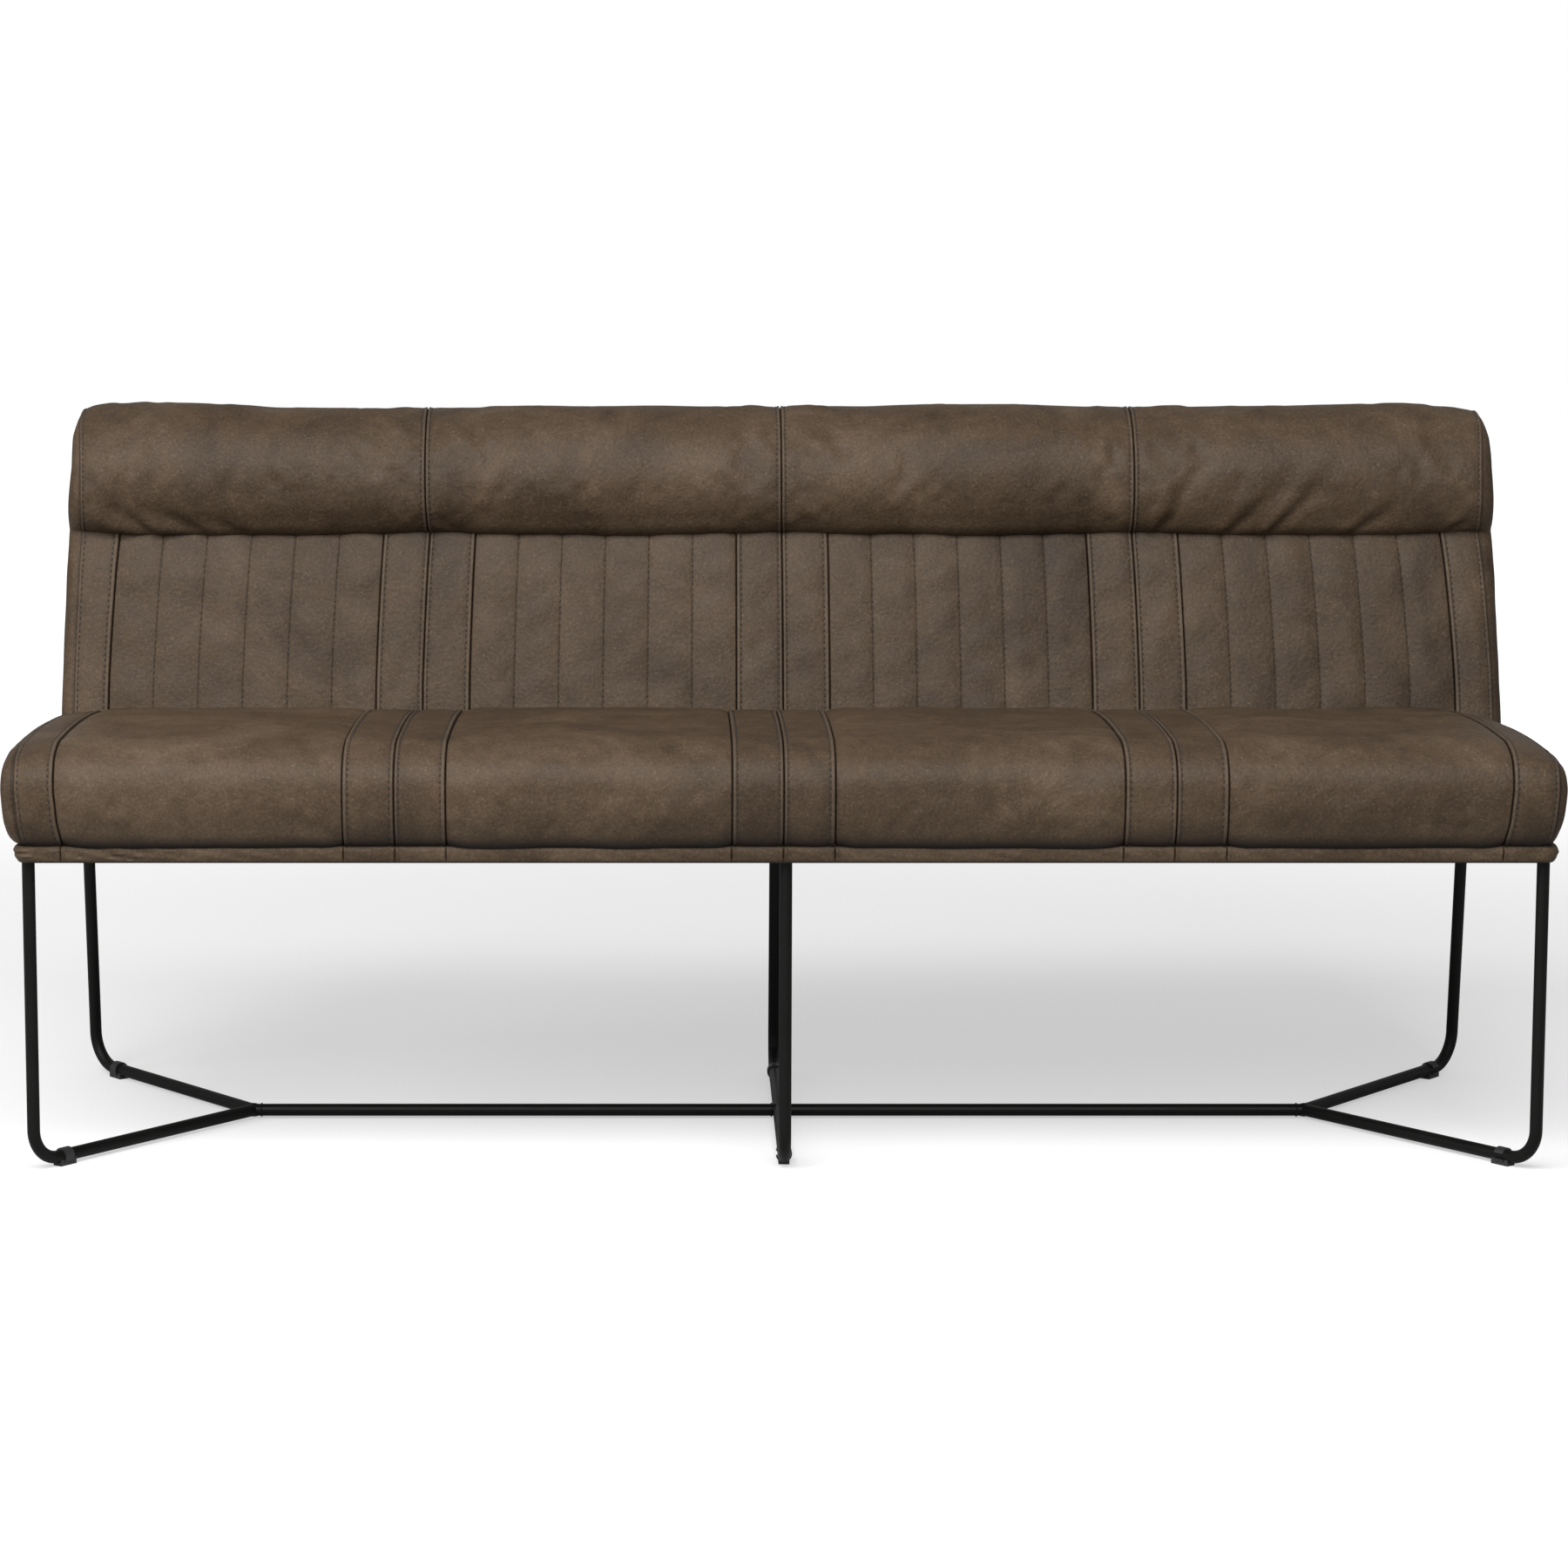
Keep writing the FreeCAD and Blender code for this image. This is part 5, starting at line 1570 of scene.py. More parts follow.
@dataclass
class Back:
    """The back's sizes and pieces: channelled modules below the crease and the head roll over it."""

    foot_y: float = 146.0
    seat_top: float = 495.0
    recline: float = 16.0
    foam_drop: float = 45.0
    crease_up: float = 225.0
    draw_length: float = 60.0
    crease_depth: float = 8.0
    crown: float = 4.0
    pair_seams: Triple = (-443.0, 7.0, 452.0)
    roll_seams: Triple = (-440.8, 4.8, 445.8)
    strip: float = 58.3
    edges: Pair = (-878.8, 893.0)
    roll_edges: Pair = (-871.5, 880.5)
    end_seams: Pair = (-835.2, 846.0)
    end_round: float = 20.0
    top_round: float = 28.0
    outer_levels: Triple = (480.0, 705.0, 790.0)
    outer: tuple[tuple[float, ...], tuple[float, ...]] = ((896.5, 892.5, 885.5), (906.0, 901.5, 896.5))
    start: Pair = (219.5, 706.8)
    chin: Pair = (196.0, 731.0)
    nose: Pair = (190.4, 760.4)
    crown_point: Pair = (291.0, 861.0)
    lid: Pair = (305.6, 855.6)
    rear: Pair = (315.0, 841.0)
    rear_foot: Pair = (275.5, 390.0)
    tones: tuple[float, ...] = (0.0, -0.03, -0.04, -0.06)
    roll_tones: tuple[float, ...] = (-0.04, -0.03, 0.0, -0.01)
    strip_tones: tuple[float, ...] = (-0.01, -0.03, -0.08, -0.04, -0.03, -0.05)
    # The left end is painted lighter and the right end darker: painted light and shade.
    side_light_and_shade: Pair = (0.03, -0.10)
    roll_radius: float = 100.9
    # Folds pulled up from the crease, where the photograph shows them.
    folds: tuple[Crease, ...] = (
        Crease((-780.0, 2.0), (-846.0, 56.0), 9.0, 6.5), Crease((-712.0, 2.0), (-800.0, 50.0), 10.0, 6.0),
        Crease((-660.0, 2.0), (-722.0, 30.0), 8.0, 3.4), Crease((-400.0, 4.0), (-432.0, 34.0), 6.0, 1.6),
        Crease((478.0, 6.0), (520.0, 84.0), 9.0, 3.6), Crease((560.0, 2.0), (640.0, 84.0), 9.0, 3.2),
        Crease((612.0, 2.0), (698.0, 96.0), 8.0, 3.4), Crease((712.0, 2.0), (790.0, 60.0), 8.0, 3.0),
        Crease((838.0, 4.0), (872.0, 34.0), 6.0, 2.6))
    cover: BackCover = field(init=False)
    roll: RollCover = field(init=False)

    def __post_init__(self) -> None:
        """Lay out the two sections."""
        low, high = -self.foam_drop, self.crease_up
        up = np.linspace(low, high, 260)
        share = np.clip((up - (high - self.draw_length)) / self.draw_length, 0, 1)
        behind = self.crown + self.crease_depth * share ** 1.7
        turn = math.radians(self.recline)
        front = np.column_stack([self.foot_y + up * math.sin(turn) + behind * math.cos(turn),
                                 self.seat_top + up * math.cos(turn) - behind * math.sin(turn)])
        self.cover = BackCover(Profile(front), pitch=3.4, step=3.2, far_shade=0.3, soft_shade=(0.0, 0.12))
        halfway = self.roll_radius * math.sqrt(0.5)
        middle = (self.crown_point[0] - halfway, self.nose[1] + halfway)
        over = Profile(arc(self.start, self.chin, self.nose), arc(self.nose, middle, self.crown_point),
                       arc(self.crown_point, self.lid, self.rear))
        self.roll = RollCover(over, Stuffing(), pitch=3.6, step=3.0, crease_shade=0.2, creases=self.folds,
                              edges=self.roll_edges, seams=self.roll_seams)

    def crown_edges(self) -> Pair:
        """Where the end seams stand over the crown and down the rear."""
        return self.roll_edges[0] - self.roll.crown_out, self.roll_edges[1] + self.roll.crown_out

    def modules(self) -> list[Panel]:
        """The four channelled panels."""
        return wide_row(self.end_seams, self.pair_seams, self.strip, 2.6, 27.0, self.tones, 71, channels=6)

    def strip_panels(self) -> list[Panel]:
        """The three pairs of narrow strips between the modules."""
        return strip_pairs(self.pair_seams, self.strip, 3.0, 22.0, self.strip_tones, 81)

    def end_panels(self) -> list[Panel]:
        """The strip at each end of the back."""
        return [Panel(self.edges[0], self.end_seams[0], Seam.EDGE, Seam.LIP, 2.6, 18.0, 0.03, seed=95),
                Panel(self.end_seams[1], self.edges[1], Seam.LIP, Seam.EDGE, 2.6, 18.0, -0.03, seed=96)]

    def roll_panels(self) -> list[Panel]:
        """The head roll's four panels.

        Returns:
            The panels, from left to right.
        """
        lines = (self.roll_edges[0],) + self.roll_seams + (self.roll_edges[1],)
        kinds = (Seam.EDGE, Seam.TWIN, Seam.TWIN, Seam.TWIN, Seam.EDGE)
        return [Panel(*lines[place:place + 2], *kinds[place:place + 2], 4.6, 190.0, tone, seed=101 + place)
                for place, tone in enumerate(self.roll_tones)]

    def build(self) -> Made:
        """Make the back's leather pieces.

        Returns:
            Each piece with the CAD nodes that it replaces.
        """
        made = wide_pieces(self.cover, self.modules(), "back_channels", "back_panel")
        made += joined_piece(self.cover, self.strip_panels(), "back_strip_pairs", "back_strips")
        made += joined_piece(self.cover, self.end_panels(), "back_end_bands", "back_end_strips")
        made += joined_piece(self.roll, self.roll_panels(), "head_roll", "roll_panels")
        for side, word in ((-1, "left"), (1, "right")):
            made.append((self.side_pad(side, f"back_side_{word}"), (f"back_boxing_{word}",)))
        made.append((self.rear_leather(), ("rear_cover",)))
        return made

    def side_edges(self, side: int, floor_z: float) -> tuple[np.ndarray, np.ndarray]:
        """The front and rear edges of the back's padded end, seen from the side.

        Args:
            side: -1 for the left end, 1 for the right.
            floor_z: the height at which they start.

        Returns:
            Two lines of (y, z) points, both from their foot up to the crown.
        """
        turn = math.tan(math.radians(self.recline))
        toe = (self.foot_y + self.crown + 1.0 - (self.seat_top - floor_z) * turn, floor_z)
        lower = self.cover.profile.points
        lower = lower[lower[:, 1] > floor_z + 50.0]
        upper_along = np.linspace(0.0, self.roll.profile.length, 240)
        end = 0 if side < 0 else 1
        across = np.array([self.roll_edges[end] - 0.01 * side])
        panel = self.roll_panels()[3 * end]
        drop = self.roll.swell(panel, across, upper_along)[0]
        spot, way = self.roll.profile.place(upper_along)
        upper = spot + way * (drop - 1.4)[:, None]
        crown_at = int(np.argmax(upper[:, 1]))
        front = np.vstack([toe, lower + np.array([0.8, 0.0]), upper[:crown_at + 1]])
        rear = np.vstack([np.array(self.rear_foot), np.array(self.rear) - np.array([1.0, 1.0]),
                          upper[crown_at:][::-1]])
        return front[np.argsort(front[:, 1], kind="stable")], rear[np.argsort(rear[:, 1], kind="stable")]

    def side_pad(self, side: int, name: str) -> Piece:
        """The padded end of the back, laid out in rows from its front edge to its rear one.

        Args:
            side: -1 for the left end, 1 for the right.
            name: the piece's name.

        Returns:
            The piece.
        """
        floor_z = 390.0
        end = 0 if side < 0 else 1
        front, rear = self.side_edges(side, floor_z)
        top = float(front[-1, 1])
        levels = np.concatenate([np.linspace(floor_z, top - 60, 90), top - 60 * np.cos(
            np.linspace(0, math.pi / 2, 26))[1:-1], [top - 0.05]])
        share = np.concatenate([[0, 0.006, 0.018, 0.04, 0.07, 0.11, 0.16], np.linspace(0.22, 0.78, 16),
                                [0.84, 0.89, 0.93, 0.96, 0.982, 0.994, 1.0]])
        near = np.interp(levels, front[:, 1], front[:, 0])
        far = np.interp(levels, rear[:, 1], rear[:, 0])
        y = near[:, None] + (far - near)[:, None] * share[None, :]
        z = np.broadcast_to(levels[:, None], y.shape)
        from_edge = np.minimum(y - near[:, None], far[:, None] - y)
        from_top = np.minimum(top - z, 60.0)
        soft = np.sqrt(np.clip(1 - (1 - np.clip(from_edge / self.end_round, 0, 1)) ** 2, 0, 1))
        soft = soft * np.sqrt(np.clip(from_top / self.top_round, 0, 1))
        # Across the bench the edge seam itself is drawn in towards the crease; the padding beside it is not.
        front_seam = self.edge_line(levels, end)[:, None]
        rear_seam = np.abs(np.interp(z, (floor_z, self.rear[1]), (self.edges[end], self.crown_edges()[end])))
        seam = front_seam * (1 - share) + rear_seam * share - 1.0
        outer_x = np.interp(z, self.outer_levels, self.outer[end])
        x = side * (seam + (outer_x - seam) * soft + 0.4 * soft * ripple(y, z, 80.0, 111 + side))
        rows, columns = y.shape
        grid = np.arange(rows * columns).reshape(rows, columns)
        rim = np.concatenate([grid[0, :-1], grid[:-1, -1], grid[-1, :0:-1], grid[:0:-1, 0]])
        outer = np.dstack([x, y, z]).reshape(-1, 3)
        flat = outer[rim].copy()
        flat[:, 0] = side * (np.abs(flat[:, 0]) - 2.0)
        points = np.vstack([outer, flat]) * MM
        base = rows * columns
        below = np.arange(base, base + len(rim))
        faces = face_lists(quads(grid)[:, TURNED], walls(rim, below)[:, TURNED])
        faces.append(below.tolist())
        piece = mesh_object(name, points, faces)
        face_outwards(piece)
        # Painted shade along the rim at the seam and over the flat backing.
        painted_shade = np.zeros(len(points))
        painted_shade[rim] = 0.6
        painted_shade[base:] = 0.8
        mark_plain(piece, painted_shade, self.side_light_and_shade[end])
        return piece

    def edge_line(self, levels: np.ndarray, place: int) -> np.ndarray:
        """X of the edge seam at heights, drawn in at the crease as both covers draw it.

        Args:
            levels: heights.
            place: 0 for the left end, 1 for the right.

        Returns:
            Distances from the bench's middle.
        """
        low_along = self.cover.profile.along
        low_z = self.cover.profile.points[:, 1]
        edge = np.array([self.edges[place]])
        low_x = np.abs(self.cover.warp(edge, low_along)[0])
        high_along = np.linspace(0, self.roll.profile.length * 0.72, 80)
        high_z = self.roll.profile.place(high_along)[0][:, 1]
        high_x = np.abs(self.roll.warp(np.array([self.roll_edges[place]]), high_along)[0])
        heights = np.concatenate([low_z, high_z])
        places = np.concatenate([low_x, high_x])
        order = np.argsort(heights, kind="stable")
        return np.interp(levels, heights[order], places[order])

    def rear_leather(self) -> Piece:
        """The plain rear of the back: four sewn pieces in one sheet with its backing.

        Returns:
            The piece.
        """
        down = np.linspace(np.array(self.rear), np.array(self.rear_foot), 200)
        left_end, right_end = self.crown_edges()
        wider = (self.edges[0] - left_end, self.edges[1] - right_end)
        cover = RearCover(Profile(down), pitch=9.0, step=7.0, wider=wider)
        lines = (left_end + 1,) + self.roll_seams + (right_end - 1,)
        shells = []
        for left, right in zip(lines, lines[1:]):
            panel = Panel(left, right, Seam.TWIN, Seam.TWIN, 1.2, 40.0, -0.03, seed=121)
            shells.append(cover.shell(panel))
        return leather_object("rear_leather", shells)


@dataclass
class HemWrap:
    """The folded leather band round the foot of the seat."""

    half: float = 889.0
    front: float = -293.0
    rear: float = 278.5
    corner: float = 16.0
    low: float = 369.0
    high: float = 390.0
    seams: tuple[float, ...] = (-837.0, -511.0, -451.4, -392.5, -63.0, -3.2, 56.3, 389.0, 448.1, 508.0, 827.0)
    tone: float = 0.05

    def path(self) -> tuple[np.ndarray, np.ndarray]:
        """The band's line in plan.

        Returns:
            (x, y) points and outward directions, anticlockwise seen from above.
        """
        cx, cy = self.half - self.corner, (self.rear - self.front) / 2 - self.corner
        middle = (self.front + self.rear) / 2
        fine = [seam + offset for seam in self.seams for offset in
                (-6, -4, -3, -2.2, -1.6, -1.0, -0.5, 0, 0.5, 1.0, 1.6, 2.2, 3, 4, 6)]
        run = np.unique(np.round(np.concatenate([np.linspace(-cx, cx, 420), fine]), 3))
        run = run[(run >= -cx) & (run <= cx)]
        sides = np.linspace(-cy, cy, 110)[1:-1]
        turns = np.linspace(0, math.pi / 2, 14)
        spots, ways = [], []

        def straight(xs: np.ndarray, ys: np.ndarray, way: Pair) -> None:
            """Add a straight side."""
            spots.append(np.column_stack([xs, ys + middle]))
            ways.append(np.tile(way, (len(xs), 1)))

        def bend(x: float, y: float, begin: float) -> None:
            """Add a rounded corner.

            Args:
                x: its middle's x.
                y: its middle's y.
                begin: the angle at which it starts.
            """
            angles = begin + turns
            way = np.column_stack([np.cos(angles), np.sin(angles)])
            spots.append(np.array([x, y + middle]) + self.corner * way)
            ways.append(way)

        straight(run[1:-1], np.full(len(run) - 2, -cy - self.corner), (0.0, -1.0))
        bend(cx, -cy, -math.pi / 2)
        straight(np.full(len(sides), cx + self.corner), sides, (1.0, 0.0))
        bend(cx, cy, 0.0)
        straight(run[1:-1][::-1], np.full(len(run) - 2, cy + self.corner), (0.0, 1.0))
        bend(-cx, cy, math.pi / 2)
        straight(np.full(len(sides), -cx - self.corner), sides[::-1], (-1.0, 0.0))
        bend(-cx, -cy, math.pi)
        return np.vstack(spots), np.vstack(ways)

    def build(self) -> Piece:
        """Make the band.

        Returns:
            The piece.
        """
        spots, ways = self.path()
        section = np.array([(-3.0, 0.03), (-2.4, -0.01), (-1.5, 0.0), (-0.5, 0.05), (0.5, 0.13), (1.5, 0.25),
                            (2.4, 0.39), (3.0, 0.54), (3.0, 0.69), (2.3, 0.82), (1.0, 0.92), (-0.8, 0.98),
                            (-3.0, 0.98), (-3.0, 0.5)])
        tall = self.high - self.low
        front = ways[:, 1] < -0.99
        gap = np.min(np.abs(spots[:, 0][:, None] - np.array(self.seams)[None, :]), axis=1)
        ridge = np.where(front, 1.5 * dip(gap, 2.4, 1.5) - 1.6 * dip(gap, 0.0, 0.7), 0.0)
        pinch = np.where(front, -1.0 * dip(gap, 0.0, 14.0), 0.0)
        from_middle = np.abs(spots[:, 0])
        corner = 1.6 * dip(from_middle, self.half - 4, 11.0) - 2.2 * dip(from_middle, self.half - 26, 7.0)
        rings = []
        painted_shades = []
        for outward, share in section:
            bulge = max(0.0, math.sin(math.pi * min(max(share, 0.0), 1.0)))
            height = self.low + share * tall
            slanted = spots * 0.6 + 1.8 * height
            pucker = 1.9 * ripple(slanted[:, 0], slanted[:, 1], 22.0, 131)
            left = np.clip((-spots[:, 0] - 480.0) / 300.0, 0.35, 1.0)
            shift = outward + bulge * (ridge + pinch + corner + pucker * left)
            flat = spots + ways * shift[:, None]
            rings.append(np.column_stack([flat, np.full(len(flat), height)]))
            # Painted shade in the folds at the band's top and bottom and in its seams.
            fold = 0.85 * (share > 0.97) + 0.3 * (share > 0.9) + 0.55 * (share < 0.08) + 0.2 * (share < 0.2)
            painted_shades.append(np.maximum(np.where(front, 0.7 * dip(gap, 0.0, 0.8), 0.0), fold))
        points = np.vstack(rings) * MM
        loops = np.arange(len(points)).reshape(len(section), -1)
        faces = face_lists(*[walls(lower, upper) for lower, upper in zip(loops, np.roll(loops, -1, axis=0))])
        piece = mesh_object("hem_wrap", points, faces)
        mark_plain(piece, np.concatenate(painted_shades), self.tone)
        return piece


# What Geometry Nodes repeat


@dataclass(frozen=True)
class RepeatTree:
    """A Geometry Nodes tree that sets one small shape along lines or on points."""

    name: str
    inputs: tuple[tuple[str, str], ...]

    def start(self) -> tuple[Tree, bpy.types.Node, bpy.types.Node]:
        """Make the tree with its named inputs.

        Returns:
            The tree, its input node and its output node.
        """
        tree = bpy.data.node_groups.new(self.name, "GeometryNodeTree")
        tree.interface.new_socket("Geometry", in_out="INPUT", socket_type="NodeSocketGeometry")
        for name, kind in self.inputs:
            tree.interface.new_socket(name, in_out="INPUT", socket_type=kind)
        tree.interface.new_socket("Geometry", in_out="OUTPUT", socket_type="NodeSocketGeometry")
        return tree, tree.nodes.new("NodeGroupInput"), tree.nodes.new("NodeGroupOutput")


LENGTH = "NodeSocketFloat"
ROW_TREE = RepeatTree("rows_along_lines", (("Pitch", LENGTH), ("Piece Length", LENGTH), ("Thickness", LENGTH),
                                           ("Wander", LENGTH), ("Finish", "NodeSocketMaterial")))
FIXING_TREE = RepeatTree("fixings", (("Head Width", LENGTH), ("Head Height", LENGTH), ("Recess", LENGTH),
                                     ("Metal", "NodeSocketMaterial")))
SEED = 5


def row_tree() -> Tree:
    """Rows of stitches, weld ripples or staples: each line is walked at their pitch, with one on every step.

    Returns:
        The tree.
    """
    tree, given, result = ROW_TREE.start()
    line = add_node(tree, "GeometryNodeMeshToCurve", {}, {"Mesh": given.outputs["Geometry"]})
    steps = add_node(tree, "GeometryNodeResampleCurve", {"mode": "LENGTH"},
                     {"Curve": line.outputs["Curve"], "Length": given.outputs["Pitch"]})
    loop = add_node(tree, "GeometryNodeMeshUVSphere", {"Segments": 6, "Rings": 4, "Radius": 0.5}, {})
    tangent = add_node(tree, "GeometryNodeInputTangent", {}, {})
    turned = add_node(tree, "FunctionNodeAlignRotationToVector", {"axis": "X"},
                      {"Vector": tangent.outputs["Tangent"]})
    uneven = add_node(tree, "FunctionNodeRandomValue",
                      {"data_type": "FLOAT", 2: 0.9, 3: 1.08, "Seed": SEED}, {})
    longer = add_node(tree, "ShaderNodeMath", {"operation": "MULTIPLY"},
                      {0: given.outputs["Piece Length"], 1: uneven.outputs[1]})
    size = add_node(tree, "ShaderNodeCombineXYZ", {},
                    {"X": longer.outputs[0], "Y": given.outputs["Thickness"],
                     "Z": given.outputs["Thickness"]})
    set_on = add_node(tree, "GeometryNodeInstanceOnPoints", {},
                      {"Points": steps.outputs["Curve"], "Instance": loop.outputs["Mesh"],
                       "Rotation": turned.outputs["Rotation"], "Scale": size.outputs["Vector"]})
    jitter = add_node(tree, "FunctionNodeRandomValue",
                      {"data_type": "FLOAT_VECTOR", 0: (-1.0, -1.0, -1.0), 1: (1.0, 1.0, 1.0),
                       "Seed": SEED + 1}, {})
    stray = add_node(tree, "ShaderNodeVectorMath", {"operation": "SCALE"},
                     {0: jitter.outputs[0], "Scale": given.outputs["Wander"]})
    strayed = add_node(tree, "GeometryNodeTranslateInstances", {},
                       {"Instances": set_on.outputs["Instances"], "Translation": stray.outputs["Vector"]})
    solid = add_node(tree, "GeometryNodeRealizeInstances", {}, {"Geometry": strayed.outputs["Instances"]})
    smooth = add_node(tree, "GeometryNodeSetShadeSmooth", {}, {0: solid.outputs["Geometry"]})
    dyed = add_node(tree, "GeometryNodeSetMaterial", {},
                    {"Geometry": smooth.outputs[0], "Material": given.outputs["Finish"]})
    tree.links.new(dyed.outputs["Geometry"], result.inputs["Geometry"])
    return tree


def fixing_tree() -> Tree:
    """Round-headed fixings with a recess, one on every point and facing down.

    Returns:
        The tree.
    """
    tree, given, result = FIXING_TREE.start()
    head = add_node(tree, "GeometryNodeMeshCylinder", {"Vertices": 16, "Radius": 0.5, "Depth": 1.0}, {})
    size = add_node(tree, "ShaderNodeCombineXYZ", {},
                    {"X": given.outputs["Head Width"], "Y": given.outputs["Head Width"],
                     "Z": given.outputs["Head Height"]})
    shaped = add_node(tree, "GeometryNodeTransform", {}, {"Geometry": head.outputs["Mesh"],
                                                          "Scale": size.outputs["Vector"]})
    slot = add_node(tree, "GeometryNodeMeshCube", {"Size": (1.0, 0.22, 1.2)}, {})
    cross = add_node(tree, "GeometryNodeMeshCube", {"Size": (0.22, 1.0, 1.2)}, {})
    both = add_node(tree, "GeometryNodeJoinGeometry", {}, {})
    tree.links.new(slot.outputs["Mesh"], both.inputs["Geometry"])
    tree.links.new(cross.outputs["Mesh"], both.inputs["Geometry"])
    recess = add_node(tree, "ShaderNodeCombineXYZ", {},
                      {"X": given.outputs["Recess"], "Y": given.outputs["Recess"],
                       "Z": given.outputs["Head Height"]})
    driver = add_node(tree, "GeometryNodeTransform", {}, {"Geometry": both.outputs["Geometry"],
                                                          "Scale": recess.outputs["Vector"]})
    headed = add_node(tree, "GeometryNodeJoinGeometry", {}, {})
    tree.links.new(shaped.outputs["Geometry"], headed.inputs["Geometry"])
    tree.links.new(driver.outputs["Geometry"], headed.inputs["Geometry"])
    turn = add_node(tree, "FunctionNodeRandomValue",
                    {"data_type": "FLOAT_VECTOR", 0: (0.0, 0.0, 0.0), 1: (0.0, 0.0, 3.14), "Seed": SEED}, {})
    set_on = add_node(tree, "GeometryNodeInstanceOnPoints", {},
                      {"Points": given.outputs["Geometry"], "Instance": headed.outputs["Geometry"],
                       "Rotation": turn.outputs[0]})
    solid = add_node(tree, "GeometryNodeRealizeInstances", {}, {"Geometry": set_on.outputs["Instances"]})
    plated = add_node(tree, "GeometryNodeSetMaterial", {},
                      {"Geometry": solid.outputs["Geometry"], "Material": given.outputs["Metal"]})
    tree.links.new(plated.outputs["Geometry"], result.inputs["Geometry"])
    return tree


def repeat(name: str, tree: Tree, points: np.ndarray, edges: list[tuple[int, int]], inputs: dict) -> Piece:
    """Run a repeat tree and keep what it makes as a plain mesh.

    Args:
        name: the piece's name.
        tree: the Geometry Nodes tree.
        points: where it works, in metres.
        edges: pairs of points that belong to one line.
        inputs: values by the names of the tree's inputs.

    Returns:
        The plain mesh object.
    """
    guide = bpy.data.meshes.new(name + "_guide")
    guide.from_pydata(points.tolist(), edges, [])
    carrier = add_object(name + "_guide", guide)
    maker = carrier.modifiers.new("repeat", "NODES")
    maker.node_group = tree
    for item in tree.interface.items_tree:
        if item.in_out == "INPUT" and item.name in inputs:
            maker[item.identifier] = inputs[item.name]
    graph = bpy.context.evaluated_depsgraph_get()
    made = bpy.data.meshes.new_from_object(carrier.evaluated_get(graph))
    made.name = name
    carrier.modifiers.remove(maker)
    bpy.data.objects.remove(carrier)
    bpy.data.meshes.remove(guide)
    return add_object(name, made)


@dataclass(frozen=True)
class RowPiece:
    """What is set along a line: its spacing, length and thickness in millimetres, and how far it strays."""

    pitch: float
    length: float
    thickness: float
    wander: float


# The thread's real pitch is about 5 mm and its thickness 1 mm; both are drawn coarser, to show as dashes.
STITCH = RowPiece(7.4, 4.2, 2.0, 0.1)
WELD_RIPPLE = RowPiece(1.8, 3.0, 2.2, 0.1)
STAPLE = RowPiece(40.0, 11.0, 1.3, 0.5)


def set_along(name: str, tree: Tree, rows: list[np.ndarray], kind: RowPiece, material: Material) -> Piece:
    """Set small pieces along lines.

    Args:
        name: the piece's name.
        tree: the row tree.
        rows: the points of each line, in metres.
        kind: what is set on them.
        material: its material.

    Returns:
        The piece.
    """
    edges = []
    start = 0
    for row in rows:
        edges.extend((start + place, start + place + 1) for place in range(len(row) - 1))
        start += len(row)
    inputs = {"Pitch": kind.pitch * MM, "Piece Length": kind.length * MM, "Thickness": kind.thickness * MM,
              "Wander": kind.wander * MM, "Finish": material}
    return repeat(name, tree, np.vstack(rows), edges, inputs)


@dataclass
class Sewing:
    """Every row of stitches on the bench."""

    seat: Seat
    back: Back

    def rows_of(self, cover: Cover, panel: Panel) -> list[np.ndarray]:
        """Rows sewn on one leather piece.

        Args:
            cover: the cover that it belongs to.
            panel: the piece.

        Returns:
            The points of each row, in metres.
        """
        left_row, right_row = FORMS[panel.left_seam].row, FORMS[panel.right_seam].row
        places = []
        if left_row:
            places.append(panel.left + left_row)
        if right_row:
            places.append(panel.right - right_row)
        places.extend(float(line) for line in panel.seams()[1:-1])
        return [cover.row(panel, place) for place in places]

    def build(self, tree: Tree, thread: Material) -> list[Piece]:
        """Sew the seat, the back and the roll.

        Args:
            tree: the row tree.
            thread: the thread's material.

        Returns:
            The pieces.
        """
        groups = {
            "seat_stitches": (self.seat.cover, self.seat.strip_panels() + self.seat.end_panels()),
            "back_stitches": (self.back.cover,
                              self.back.modules() + self.back.strip_panels() + self.back.end_panels()),
            "roll_stitches": (self.back.roll, self.back.roll_panels()),
        }
        made = []
        for name, (cover, panels) in groups.items():
            rows = [row for panel in panels for row in self.rows_of(cover, panel)]
            made.append(set_along(name, tree, rows, STITCH, thread))
        return made


# Inside and under


def cad_copy(node: str, name: str, flatten: bool) -> Piece:
    """A copy of a CAD node's mesh with its points joined.

    Args:
        node: the CAD node.
        name: the copy's name.
        flatten: whether its level faces are joined as well.

    Returns:
        The copy, without material.
    """
    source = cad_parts[node]
    mesh = source.data.copy()
    mesh.name = name
    edit = bmesh.new()
    edit.from_mesh(mesh)
    bmesh.ops.transform(edit, matrix=source.matrix_world, verts=edit.verts)
    bmesh.ops.remove_doubles(edit, verts=edit.verts, dist=1e-5)
    if flatten:
        bmesh.ops.dissolve_limit(edit, angle_limit=0.02, verts=edit.verts, edges=edit.edges)
    edit.to_mesh(mesh)
    edit.free()
    mesh.materials.clear()
    return add_object(name, mesh)


